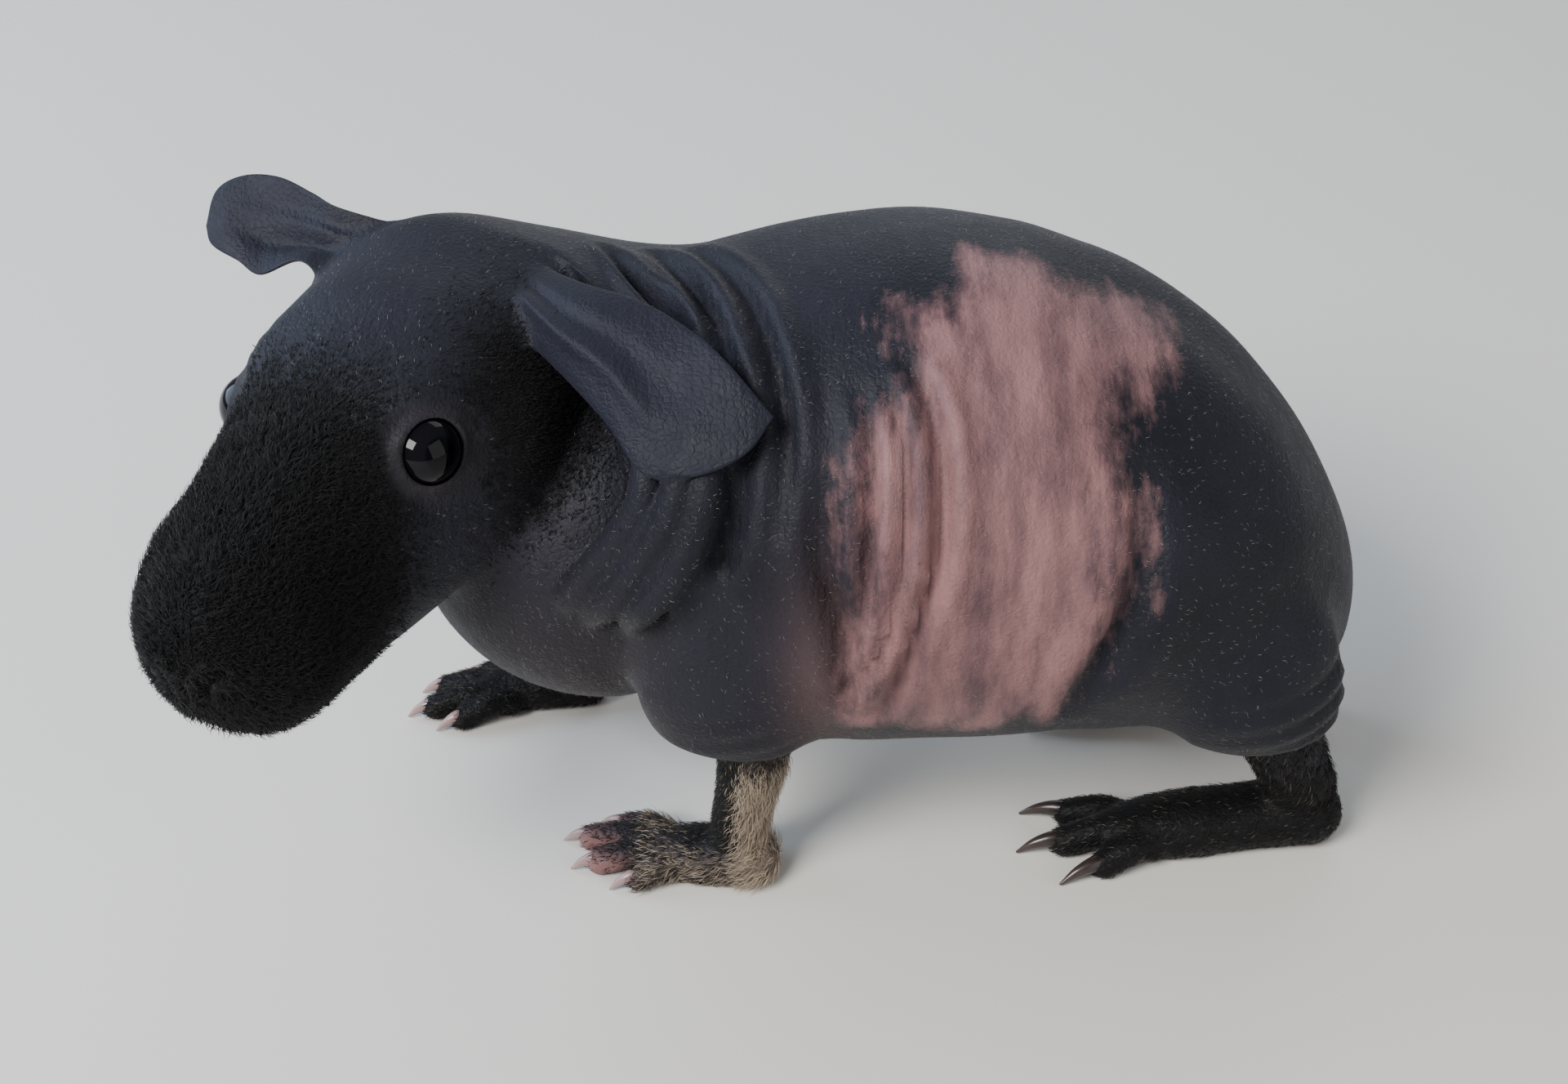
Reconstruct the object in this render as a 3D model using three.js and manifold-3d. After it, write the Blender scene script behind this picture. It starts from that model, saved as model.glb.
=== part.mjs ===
// A young skinny pig, a nearly hairless guinea pig, as a life-size still model in millimetres.
// It stands on four feet with its head turned to its left, looking down its left side.
// The trunk lies along X with its chest towards -X, its left side is towards -Y, and +Z is up.
import * as THREE from "three";
import { mergeVertices } from "three/addons/utils/BufferGeometryUtils.js";
import Module from "manifold-3d";

const wasm = await Module();
wasm.setup();

// Driving dimensions, in millimetres and degrees.
const CUT_GAP = 0.3;
const ORIGIN_SHIFT = [-2.69, 7.22, 0];
const RUMP_END = 77.5;
const NECK_BACK = -10;
const NECK_FRONT = -47;
const NOSE_END = -106.5;
const EYES_ALONG = -70;
const HEAD_AT = [-53, -17, 68.5];
const HEAD_TURN = 63;
const HEAD_DIP = 3;
const HEAD_ROLL = 2.5;
const EYE_RADIUS = 4.6;
const EYE_AT = [1.6, 12.4, 3.4];
const EAR_THICKNESS = 1.2;

const radians = THREE.MathUtils.degToRad;
const vec = (p) => new THREE.Vector3(...p);
const bell = (x, width) => Math.exp(-((x / width) ** 2));
const mix = (a, b, t) => a + (b - a) * t;
const ease = (t) => t * t * (3 - 2 * t);

// A smooth curve through [place, value] pairs: a cubic with the mean slope at each pair.
function curve(pairs) {
  const last = pairs.length - 1;
  const slope = (i) => {
    const a = pairs[Math.max(i - 1, 0)];
    const b = pairs[Math.min(i + 1, last)];
    return (b[1] - a[1]) / (b[0] - a[0]);
  };
  return (x) => {
    if (x <= pairs[0][0]) return pairs[0][1];
    if (x >= pairs[last][0]) return pairs[last][1];
    const i = pairs.findIndex((pair) => pair[0] > x) - 1;
    const h = pairs[i + 1][0] - pairs[i][0];
    const t = (x - pairs[i][0]) / h;
    const rise = pairs[i + 1][1] - pairs[i][1];
    const m0 = slope(i) * h;
    const m1 = slope(i + 1) * h;
    return pairs[i][1] + t * (m0 + t * (3 * rise - 2 * m0 - m1 + t * (m0 + m1 - 2 * rise)));
  };
}

// Places between two ends, closer together towards both ends.
function steps(from, to, count) {
  const share = (i) => (1 - Math.cos((Math.PI * i) / count)) / 2;
  return Array.from({ length: count + 1 }, (_, i) => mix(from, to, share(i)));
}

const even = (from, to, count) => Array.from({ length: count + 1 }, (_, i) => mix(from, to, i / count));
const ringAngles = (count) => Array.from({ length: count }, (_, j) => (2 * Math.PI * j) / count);

// A solid from points and triangles, with its triangles turned over if its volume is negative.
function solid(positions, triangles) {
  const at = (i) => new THREE.Vector3().fromArray(positions, 3 * i);
  let volume = 0;
  for (let i = 0; i < triangles.length; i += 3)
    volume += at(triangles[i]).dot(at(triangles[i + 1]).cross(at(triangles[i + 2])));
  const order = volume < 0 ? [0, 2, 1] : [0, 1, 2];
  const triVerts = Uint32Array.from(triangles, (_, i) => triangles[i - (i % 3) + order[i % 3]]);
  const vertProperties = new Float32Array(positions);
  return new wasm.Manifold(new wasm.Mesh({ numProp: 3, vertProperties, triVerts }));
}

// One closed skin over rings of equal count.
// An end ring of no size closes on a point, and any other on a flat lid.
function skinOver(rings) {
  const positions = [];
  const triangles = [];
  const count = rings[0].length;
  const add = (p) => positions.push(p.x, p.y, p.z) / 3 - 1;
  const isPoint = (ring) => ring[0].distanceTo(ring[count >> 1]) < 1e-6;
  const rows = rings.map((ring) => (isPoint(ring) ? [add(ring[0])] : ring.map(add)));
  const fan = (tip, row, turned) => {
    for (let j = 0; j < count; j++) {
      const pair = [row[j], row[(j + 1) % count]];
      triangles.push(tip, ...(turned ? pair.reverse() : pair));
    }
  };
  for (let i = 0; i + 1 < rows.length; i++) {
    const [a, b] = [rows[i], rows[i + 1]];
    if (a.length === 1) fan(a[0], b, false);
    else if (b.length === 1) fan(b[0], a, true);
    else
      for (let j = 0; j < count; j++) {
        const k = (j + 1) % count;
        triangles.push(a[j], b[j], b[k], a[j], b[k], a[k]);
      }
  }
  const lid = (row, ring, turned) => {
    if (row.length === 1) return;
    const middle = ring.reduce((sum, p) => sum.add(p), vec([0, 0, 0])).divideScalar(count);
    fan(add(middle), row, turned);
  };
  lid(rows[0], rings[0], false);
  lid(rows.at(-1), rings.at(-1), true);
  return solid(positions, triangles);
}

// A solid from one of the library's closed shapes, moved to its place.
function fromShape(shape, matrix) {
  shape.deleteAttribute("normal");
  shape.deleteAttribute("uv");
  const merged = mergeVertices(shape).applyMatrix4(matrix);
  return solid([...merged.getAttribute("position").array], [...merged.index.array]);
}

const join = (...pieces) => pieces.reduce((all, piece) => all.add(piece));
const cut = (whole, ...cutters) => cutters.reduce((left, cutter) => left.subtract(cutter), whole);

// The body's spine: straight along X in the trunk, bent to the left through the neck, straight in the head.
const headAxes = axesAt(...[HEAD_TURN, HEAD_DIP, HEAD_ROLL].map(radians));

function axesAt(turn, dip, roll) {
  const level = new THREE.Vector3(-Math.cos(turn), -Math.sin(turn), 0);
  const side = new THREE.Vector3(Math.sin(turn), -Math.cos(turn), 0);
  const sky = new THREE.Vector3(0, 0, 1);
  const forward = level.clone().multiplyScalar(Math.cos(dip)).addScaledVector(sky, -Math.sin(dip));
  const lifted = sky.clone().multiplyScalar(Math.cos(dip)).addScaledVector(level, Math.sin(dip));
  const left = side.clone().multiplyScalar(Math.cos(roll)).addScaledVector(lifted, Math.sin(roll));
  const up = lifted.clone().multiplyScalar(Math.cos(roll)).addScaledVector(side, -Math.sin(roll));
  return { forward, left, up };
}

// A place on the head from its own axes: f towards the nose, l to the left and u up, from between the eyes.
function onHead([f, l, u]) {
  return vec(HEAD_AT)
    .addScaledVector(headAxes.forward, f)
    .addScaledVector(headAxes.left, l)
    .addScaledVector(headAxes.up, u);
}

// Ring sizes along the body. A place along it equals x in the trunk and falls through the neck to the nose.
const body = {
  trunkMiddle: curve([
    [-10, 51.6], [0, 52.3], [15, 53.4], [30, 53], [40, 51.8], [50, 49.5], [62, 44.5], [78, 36],
  ]),
  headMiddle: curve([
    [-107, -8.6], [-98, -9], [-90, -8.6], [-80, -7], [-70, -5.2], [-60, -3.6], [-47, -2.6],
  ]),
  halfHeight: curve([
    [-107, 12.6], [-100, 13.8], [-90, 15.8], [-80, 17.6], [-70, 19.2], [-60, 20.2], [-47, 20], [-38, 22],
    [-28, 26], [-18, 29.7], [-10, 32], [0, 33.4], [15, 34.1], [30, 32.7], [40, 30.3], [50, 28.5], [78, 28.5],
  ]),
  halfWidth: curve([
    [-107, 10], [-100, 11], [-90, 12.2], [-80, 14.2], [-70, 17], [-60, 20], [-50, 21.8], [-40, 23.5],
    [-30, 26], [-20, 28.6], [-10, 30.8], [0, 33.2], [15, 35.5], [30, 36], [45, 34.5], [78, 33],
  ]),
  noseRound: 12,
  rumpRound: 37.5,
  power: 2.15,
};

function spineAt(along) {
  if (along >= NECK_BACK) return { at: vec([along, 0, body.trunkMiddle(along)]), ...axesAt(0, 0, 0) };
  const onHeadSpine = (place) => onHead([EYES_ALONG - place, 0, body.headMiddle(place)]);
  if (along <= NECK_FRONT) return { at: onHeadSpine(along), ...headAxes };
  const t = (NECK_BACK - along) / (NECK_BACK - NECK_FRONT);
  const span = NECK_BACK - NECK_FRONT;
  const from = vec([NECK_BACK, 0, body.trunkMiddle(NECK_BACK)]);
  const to = onHeadSpine(NECK_FRONT);
  const at = from
    .multiplyScalar(1 - t * t * (3 - 2 * t))
    .addScaledVector(to, t * t * (3 - 2 * t))
    .addScaledVector(vec([-1, 0, 0]), span * t * (1 - t) ** 2)
    .addScaledVector(headAxes.forward, -span * t * t * (1 - t));
  const [turn, dip, roll] = [HEAD_TURN, HEAD_DIP, HEAD_ROLL].map((angle) => radians(angle) * ease(t));
  return { at, ...axesAt(turn, dip, roll) };
}

// Swellings and hollows: where each is from the head's origin, how far it stands out, how wide it spreads.
const headForms = [
  { at: [1, 13, 10], out: 2.2, spread: [8, 6, 4.5] }, // brow
  { at: [-12, 19, -9], out: 2, spread: [10, 9, 9] }, // jowl
  { at: [27, 9, -13], out: 1.6, spread: [7, 6, 6] }, // whisker pad
  { at: [35, 3, -5], out: 0.8, spread: [5, 5, 4] }, // nose pad
  { at: [17, 10, -3], out: -1, spread: [7, 6, 6] }, // side of the muzzle
  { at: [0, 17, 2], out: -1, spread: [6, 6, 5] }, // hollow of the eye
  { at: [24, 0, -24], out: 0.8, spread: [7, 7, 6] }, // chin
];
const FORMS_END = NECK_FRONT + 15;

function roundEnd(along, end, reach) {
  const t = 1 - Math.abs(end - along) / reach;
  return t <= 0 ? 1 : Math.sqrt(Math.max(0, 1 - t * t));
}

// One ring of the body, standing out by grow, moved by slide along the spine.
function bodyRing(along, sides, grow = 0, slide = 0) {
  const { at, forward, left, up } = spineAt(along);
  const close = roundEnd(along, NOSE_END, body.noseRound) * roundEnd(along, RUMP_END, body.rumpRound);
  const across = body.halfWidth(along) * close + (close ? grow : 0);
  const tall = body.halfHeight(along) * close + (close ? grow : 0);
  return ringAngles(sides).map((angle) => {
    const [s, c] = [Math.sin(angle), Math.cos(angle)];
    let l = across * Math.sign(s) * Math.abs(s) ** (2 / body.power);
    let u = tall * Math.sign(c) * Math.abs(c) ** (2 / body.power);
    const reach = Math.hypot(l, u) || 1;
    const f = EYES_ALONG - along;
    const level = u + body.headMiddle(along);
    const offsets = (form) => [f - form.at[0], Math.abs(l) - form.at[1], level - form.at[2]];
    const height = (form) => offsets(form).reduce((all, x, i) => all * bell(x, form.spread[i]), form.out);
    const out = along < FORMS_END ? headForms.reduce((sum, form) => sum + height(form), 0) : 0;
    l += (out * l) / reach;
    u += (out * u) / reach;
    return at.clone().addScaledVector(left, l).addScaledVector(up, u).addScaledVector(forward, slide);
  });
}

// A length of the body between two places, each end moved in by half the cutting gap where it meets another.
function bodyLength(places, sides, grow = 0, slides = [0, 0]) {
  const last = places.length - 1;
  const slideAt = (i) => (i === 0 ? slides[0] : i === last ? slides[1] : 0);
  return skinOver(places.map((along, i) => bodyRing(along, sides, grow, slideAt(i))));
}

// A ball stretched along the three axes, as rings across X.
function ball(at, radii, sides) {
  const rings = steps(-1, 1, sides / 2).map((t) => {
    const wide = Math.sqrt(Math.max(0, 1 - t * t));
    return ringAngles(sides).map((angle) =>
      vec([t, wide * Math.sin(angle), wide * Math.cos(angle)]).multiply(vec(radii)).add(vec(at)),
    );
  });
  return skinOver(rings);
}

// How far out the last ring before a round end lies, and how wide it is, as a share of the radius.
const BEVEL = 0.7;

// A tube along a smooth path, of a radius that changes along it, with round or pointed ends.
// Where floor is set, nothing of it reaches below that height, which leaves a flat sole.
function tube(points, radii, { grow = 0, rings = 8, sides = 10, squash = 1, floor = -Infinity } = {}) {
  const path = new THREE.CatmullRomCurve3(points.map(vec), false, "centripetal");
  const radiusAt = curve(radii.map((r, i) => [i / (radii.length - 1), r]));
  const level = new THREE.Vector3(0, 0, 1);
  const lay = (t, along, scale) => {
    const tangent = path.getTangentAt(t);
    const side = level.clone().cross(tangent).normalize();
    const rise = tangent.clone().cross(side);
    const r = (radiusAt(t) + grow) * scale;
    const at = path.getPointAt(t).addScaledVector(tangent, along * (radiusAt(t) + grow));
    return ringAngles(sides).map((angle) => {
      const [s, c] = [r * Math.sin(angle), r * squash * Math.cos(angle)];
      const p = at.clone().addScaledVector(side, s).addScaledVector(rise, c);
      p.z = Math.max(p.z, floor);
      return p;
    });
  };
  const middle = even(0, 1, rings).map((t) => lay(t, 0, 1));
  return skinOver([lay(0, -1, 0), lay(0, -BEVEL, BEVEL), ...middle, lay(1, BEVEL, BEVEL), lay(1, 1, 0)]);
}

// A hanging sleeve of loose skin: level rings going down, given as
// [height, x, y, reach along x, reach along y].
function sleeve(levels, { side, shift, out, grow = 0 }) {
  const [sides, rings] = [16, 8];
  const tables = [1, 2, 3, 4].map((k) => curve(levels.map((level) => [-level[0], level[k]])));
  const last = levels.length - 1;
  return skinOver(
    steps(-levels[0][0], -levels[last][0], rings).map((down, i) => {
      const [x, y, reachX, reachY] = tables.map((table) => table(down));
      const end = i === 0 ? 1 : i === rings ? -1 : 0;
      const more = end ? 0 : grow;
      return ringAngles(sides).map(
        (angle) =>
          new THREE.Vector3(
            x + shift + (reachX + more) * Math.cos(angle),
            side * (y + out + (reachY + more) * Math.sin(angle)),
            -down + end * grow,
          ),
      );
    }),
  );
}

const upperArmLevels = [
  [62, -6, 19, 0, 0],
  [58, -6, 20, 9, 6.5],
  [50, -6, 22, 13, 9.5],
  [40, -6, 23, 14, 10],
  [33, -5.5, 23, 13, 9],
  [28, -5, 22.5, 10, 6.8],
  [24.5, -4, 22.5, 0, 0],
];
const thighLevels = [
  [60, 54, 15, 0, 0],
  [56, 54, 16, 8, 7],
  [48, 55, 18.5, 13.5, 11],
  [40, 57, 20, 15, 12],
  [32, 59.5, 20, 13.5, 11],
  [27, 61, 19.5, 10, 7.5],
  [23.5, 61.5, 19, 0, 0],
];

// A limb below its sleeve: a path of the shank, the foot's own path, and toes with claws.
// Toes are [where the toe leaves the foot, its tip, its radius].
const FORE = {
  shank: {
    points: [[-3, 21.5, 36], [-4, 21, 24], [-5.5, 20.5, 14], [-6.5, 20, 7.5]],
    radii: [6, 5.4, 4.2, 3.8],
  },
  foot: {
    points: [[-5, 20, 3.1], [-11, 19.4, 2.9], [-17.5, 18.6, 2.2]],
    radii: [4.4, 4.4, 3.8],
  },
  toes: [
    { from: [-15, 15.4, 2.2], to: [-22.5, 12.4, 1.5], radius: 1.7 },
    { from: [-16, 17.2, 2.2], to: [-27, 15, 1.6], radius: 1.9 },
    { from: [-16, 19.4, 2.2], to: [-25.5, 19.8, 1.6], radius: 1.9 },
    { from: [-14, 21.4, 2.2], to: [-20, 23, 1.6], radius: 1.8 },
  ],
  clawLength: 4.2,
  clawRadius: 1.1,
};
const HIND = {
  shank: {
    points: [[60, 18, 38], [64, 15.5, 28], [69, 12.6, 17], [72.5, 11.6, 9]],
    radii: [8, 7, 5.6, 5],
  },
  foot: {
    points: [[73.5, 11.6, 4], [64, 12.8, 3.6], [54, 14.2, 3.2], [48, 15, 2.6]],
    radii: [5.4, 5, 5.2, 4.6],
  },
  toes: [
    { from: [50, 12, 2.5], to: [40.5, 10, 1.8], radius: 2 },
    { from: [50, 15, 2.7], to: [39.5, 16, 1.9], radius: 2.2 },
    { from: [52, 17.6, 2.5], to: [44.5, 20.6, 1.8], radius: 2 },
  ],
  clawLength: 6.8,
  clawRadius: 1.25,
};

const place = (p, side, shift) => [p[0] + shift[0], side * (p[1] + shift[1]), p[2]];

// A foot is a little flatter than it is wide, and its toes are raised at the knuckle.
const FOOT_SQUASH = 0.85;
const KNUCKLE_RISE = 0.7;

// The claw grows on from its toe, bends down and ends in a point just above the floor.
function claw(toe, limb, side, shift, grow = 0) {
  const [from, to] = [toe.from, toe.to].map((p) => vec(place(p, side, shift)));
  const along = to.clone().sub(from).setZ(0).normalize();
  const at = (reach, height) => to.clone().addScaledVector(along, reach).setZ(height).toArray();
  const [root, bend, tip] = [-1.2, limb.clawLength * 0.45, limb.clawLength];
  const points = [at(root, toe.to[2] + 0.3), at(bend, toe.to[2] + 0.2), at(tip, 0.75)];
  const radii = [limb.clawRadius, limb.clawRadius * 0.75, 0.3];
  return tube(points, radii, { grow, rings: 3, sides: 6, floor: 0 });
}

function footSolid(limb, side, shift, grow = 0) {
  const moved = (points) => points.map((p) => place(p, side, shift));
  const { points, radii } = limb.foot;
  const palm = tube(moved(points), radii, { grow, rings: 6, sides: 12, squash: FOOT_SQUASH, floor: 0 });
  const toes = limb.toes.map(({ from, to, radius }) => {
    const knuckle = [mix(from[0], to[0], 0.5), mix(from[1], to[1], 0.5), from[2] + KNUCKLE_RISE];
    const widths = [radius, radius * 1.05, radius];
    return tube(moved([from, knuckle, to]), widths, { grow, rings: 3, sides: 8, floor: 0 });
  });
  return join(palm, ...toes);
}

function shankSolid(limb, side, shift, grow = 0) {
  const points = limb.shank.points.map((p) => place(p, side, shift));
  const floor = grow ? -Infinity : CUT_GAP;
  return tube(points, limb.shank.radii, { grow, rings: 6, sides: 12, floor });
}

// An ear is a thin leaf between a front and a rear edge that share its tip, bulging up between them.
// Both edges start inside the head and are given on the head's axes. The left ear lies back over the neck,
// and the right one stands out sideways.
const EARS = {
  left: {
    front: [
      [-19, 10, 8.5], [-15.4, 18.1, 9], [-9.8, 31, 4.9], [-6.7, 37.9, 0.8], [-8.1, 44.3, 1.5],
      [-11.8, 49, 3.6], [-15.9, 50.6, 6.5],
    ],
    rear: [
      [-30, 7, 12], [-23.1, 20.9, 14.6], [-22.2, 29.8, 14.3], [-20.4, 37.1, 13.2], [-18.1, 43.4, 11.4],
      [-15.9, 50.6, 6.5],
    ],
    bulge: 2.4,
  },
  right: {
    front: [
      [-15, -11, 9], [-18.4, -18.7, 12.1], [-17.3, -25.4, 9.4], [-18, -29.2, 10.3], [-19, -34.1, 11.2],
      [-20.6, -36, 12.8],
    ],
    rear: [
      [-28, -6, 14], [-25.8, -17, 16.4], [-26.7, -21.7, 17.2], [-27.3, -27.5, 18.3], [-26.6, -33, 17.9],
      [-24.5, -36.3, 16.2], [-20.6, -36, 12.8],
    ],
    bulge: -2,
  },
};

function earSolid({ front, rear, bulge }, grow = 0) {
  const [rings, sides] = [10, 16];
  const edge = (points) => new THREE.CatmullRomCurve3(points.map(onHead), false, "centripetal");
  const [frontEdge, rearEdge] = [edge(front), edge(rear)];
  const rows = even(0, 1, rings).map((row) => {
    const t = Math.sin((Math.PI / 2) * row);
    const [a, b] = [frontEdge.getPointAt(t), rearEdge.getPointAt(t)];
    const along = frontEdge.getTangentAt(t).add(rearEdge.getTangentAt(t)).normalize();
    const across = b.clone().sub(a);
    const out = across.clone().normalize().cross(along).normalize();
    if (out.dot(headAxes.up) < 0) out.negate();
    const close = roundEnd(t, 1, 0.2);
    return ringAngles(sides).map((angle) => {
      const [c, s] = [Math.cos(angle), Math.sin(angle)];
      const v = 0.5 + 0.5 * Math.sign(c) * Math.abs(c) ** 0.7;
      const lift = bulge * Math.sin(Math.PI * v) * Math.sin(Math.PI * Math.min(1, t + 0.2));
      const thick = (EAR_THICKNESS / 2 + grow) * Math.sign(s) * Math.abs(s) ** 0.5 * close;
      return a.clone().addScaledVector(across, v).addScaledVector(out, lift + thick);
    });
  });
  return skinOver(rows);
}

// Places on the head's own skin, by how far forward they are and the whole degrees round from the top.
function onSkin([f, degrees]) {
  return bodyRing(EYES_ALONG - f, 360)[degrees].toArray();
}

// The mouth's line, from the left corner to the middle of the lower lip and on to the right corner.
const LIP = [[20, 127], [25, 133], [29.5, 143], [32.4, 160]];
const MOUTH = [...LIP, [33.4, 180], ...LIP.map(([f, degrees]) => [f, 360 - degrees]).reverse()];
const PHILTRUM = [[36.4, 0, -10.5], [35.6, 0, -14], [33.4, 0, -17.8]];
const NOSTRIL = [[35.4, 2.4, -11.4], [35.9, 3.4, -9.4], [35, 5.6, -8.2]];
const LID_REACH = 4.3;
const LID_RADIUS = 1;
const LID_OUT = 1.7;

const mirrored = (p, side) => [p[0], side * p[1], p[2]];
const EYE_SIDES = 12;
const eyeSolid = (side, grow = 0) =>
  ball(onHead(mirrored(EYE_AT, side)).toArray(), Array(3).fill(EYE_RADIUS + grow), EYE_SIDES);

// The lids are a soft rim round the eye, a little wider than high, where the ball meets the skin.
function lidSolid(side) {
  const { forward, left, up } = headAxes;
  const matrix = new THREE.Matrix4()
    .makeBasis(forward, up, left)
    .setPosition(onHead([EYE_AT[0], side * (EYE_AT[1] + LID_OUT), EYE_AT[2]]))
    .scale(vec([1.05, 0.95, 1]));
  return fromShape(new THREE.TorusGeometry(LID_REACH, LID_RADIUS, 6, 18), matrix);
}

function largest(made) {
  return made.decompose().reduce((best, piece) => (piece.volume() > best.volume() ? piece : best));
}

// Where each leg stands: the far legs are a step ahead of, or behind, the near ones.
const LEGS = {
  left: { side: -1, fore: [0, 0], hind: [0, 0] },
  right: { side: 1, fore: [-26, -1], hind: [3, 2] },
};
const NAMES = {
  fore: { sleeve: "upper_arm", shank: "forearm", foot: "forefoot", claw: "foreClaw" },
  hind: { sleeve: "thigh", shank: "shank", foot: "hindfoot", claw: "hindClaw" },
};
const BODY_SIDES = 32;
const headPlaces = [...steps(NOSE_END, -82, 16).slice(0, 9), ...even(-93, NECK_FRONT, 18)];
const neckPlaces = even(NECK_FRONT, NECK_BACK, 12);
const torsoPlaces = [...even(NECK_BACK, 40, 9), ...steps(6, RUMP_END, 20).slice(11)];
const half = CUT_GAP / 2;

const sleeves = {};
const shanks = {};
const feet = {};
const grown = [];
for (const [name, { side, fore, hind }] of Object.entries(LEGS)) {
  const arm = { side, shift: fore[0] * 0.9, out: fore[1] };
  const thigh = { side, shift: hind[0], out: 0 };
  const limbs = [
    ["fore", FORE, fore, upperArmLevels, arm],
    ["hind", HIND, hind, thighLevels, thigh],
  ];
  for (const [end, limb, shift, levels, sleeveAt] of limbs) {
    const names = NAMES[end];
    const claws = limb.toes.map((toe) => claw(toe, limb, side, shift));
    const clawHoles = limb.toes.map((toe) => claw(toe, limb, side, shift, CUT_GAP));
    const foot = cut(footSolid(limb, side, shift), ...clawHoles);
    const shank = cut(shankSolid(limb, side, shift), footSolid(limb, side, shift, CUT_GAP));
    const shankHole = shankSolid(limb, side, shift, CUT_GAP);
    feet[`${names.foot}_${name}`] = { foot, claws, clawMaterial: names.claw };
    shanks[`${names.shank}_${name}`] = shank;
    sleeves[`${names.sleeve}_${name}`] = cut(sleeve(levels, sleeveAt), shankHole);
    grown.push(sleeve(levels, { ...sleeveAt, grow: CUT_GAP }), shankHole);
  }
}

// The breast is a rounded swelling of the neck, low between the forelegs.
const BREAST = { at: [-24, 1, 46.5], radii: [26.5, 26, 25], sides: 22 };

// The turned neck crowds its loose skin into three rolls, from under the left ear down to the throat.
// Each is a path of its middle and its widest radius.
const NECK_ROLLS = [
  {
    path: [
      [-16, -20, 76], [-15.6, -25, 69], [-16.5, -25.7, 65], [-20, -25, 59], [-26, -22, 50], [-35, -16, 41],
    ],
    radius: 3.1,
  },
  {
    path: [
      [-12, -20, 78], [-11.8, -26.5, 71], [-12.6, -28, 66.5], [-15, -28, 61], [-21, -26, 50], [-29, -19, 39],
    ],
    radius: 3,
  },
  {
    path: [
      [-9, -21, 78], [-9, -27.3, 71], [-9.8, -29.3, 66], [-12, -30.2, 60], [-16, -29.5, 52], [-21, -25, 43],
    ],
    radius: 2.7,
  },
];

const grownHead = bodyLength(headPlaces, BODY_SIDES, CUT_GAP, [0, half - CUT_GAP]);
const grownTorso = bodyLength(torsoPlaces, BODY_SIDES, CUT_GAP, [CUT_GAP - half, 0]);
const bodyPlaces = [...headPlaces, ...neckPlaces.slice(1), ...torsoPlaces.slice(1)];
const grownBody = bodyLength(bodyPlaces, BODY_SIDES, CUT_GAP);
const neckRolls = NECK_ROLLS.map(({ path, radius }) => {
  const swell = (i) => 0.5 + 0.5 * Math.sin((Math.PI * (i + 0.7)) / path.length);
  const radii = path.map((_, i) => radius * swell(i));
  return tube(path, radii, { rings: 10, sides: 8 });
});
const breast = ball(BREAST.at, BREAST.radii, BREAST.sides);
const neckForms = cut(join(breast, ...neckRolls), grownHead, grownTorso, earSolid(EARS.left, CUT_GAP));

const faceCuts = [
  tube(MOUTH.map(onSkin), [0.5, 1.6, 1.6, 1.6, 0.5], { rings: 16, sides: 6, squash: 0.28 }),
  tube(PHILTRUM.map((p) => onHead(p).toArray()), [0.3, 0.5, 0.4], { rings: 4, sides: 6 }),
  ...[1, -1].map((side) =>
    tube(NOSTRIL.map((p) => onHead(mirrored(p, side)).toArray()), [0.5, 0.9, 0.4], { rings: 5, sides: 8 }),
  ),
];

const parts = {
  head: cut(
    join(bodyLength(headPlaces, BODY_SIDES, 0, [0, half]), lidSolid(1), lidSolid(-1)),
    ...faceCuts,
    eyeSolid(1, CUT_GAP),
    eyeSolid(-1, CUT_GAP),
  ),
  neck: cut(join(bodyLength(neckPlaces, BODY_SIDES, 0, [-half, half]), neckForms), ...grown),
  torso: cut(bodyLength(torsoPlaces, BODY_SIDES, 0, [-half, 0]), ...grown),
  eye_left: eyeSolid(1),
  eye_right: eyeSolid(-1),
  ear_left: cut(earSolid(EARS.left), grownBody),
  ear_right: cut(earSolid(EARS.right), grownBody),
  ...sleeves,
  ...shanks,
};

const group = new THREE.Group();
group.position.set(...ORIGIN_SHIFT);
const finish = (color, roughness) => new THREE.MeshStandardMaterial({ color, roughness, metalness: 0 });
const materials = {
  skin: finish(0x3c3a40, 0.75),
  fur: finish(0x14141a, 0.85),
  eye: finish(0x07070b, 0.1),
  foreClaw: finish(0x8a6f6a, 0.5),
  hindClaw: finish(0x221a17, 0.35),
};

function addNode(name, made, material) {
  const { vertProperties, triVerts } = largest(made).getMesh();
  const geometry = new THREE.BufferGeometry();
  geometry.setAttribute("position", new THREE.BufferAttribute(vertProperties, 3));
  geometry.setIndex(new THREE.BufferAttribute(triVerts, 1));
  const mesh = new THREE.Mesh(geometry, material);
  mesh.name = name;
  group.add(mesh);
}

for (const [name, made] of Object.entries(parts))
  addNode(name, made, name.startsWith("eye") ? materials.eye : materials.skin);
for (const [name, { foot, claws, clawMaterial }] of Object.entries(feet)) {
  addNode(name, foot, materials.fur);
  claws.forEach((made, i) => addNode(`${name}_claw_${i + 1}`, made, materials[clawMaterial]));
}

export default group;
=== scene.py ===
# %% [markdown]
# # A young skinny pig, life size
# This lesson dresses a solid model of a nearly hairless guinea pig. Its flesh becomes one skin, worked out
# with numpy as rings along a bent spine. Legs, ears and lids are joined to it and their seams are melted.
# Short fur, stubble, eyes and claws are made as separate pieces on that skin.

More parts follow.
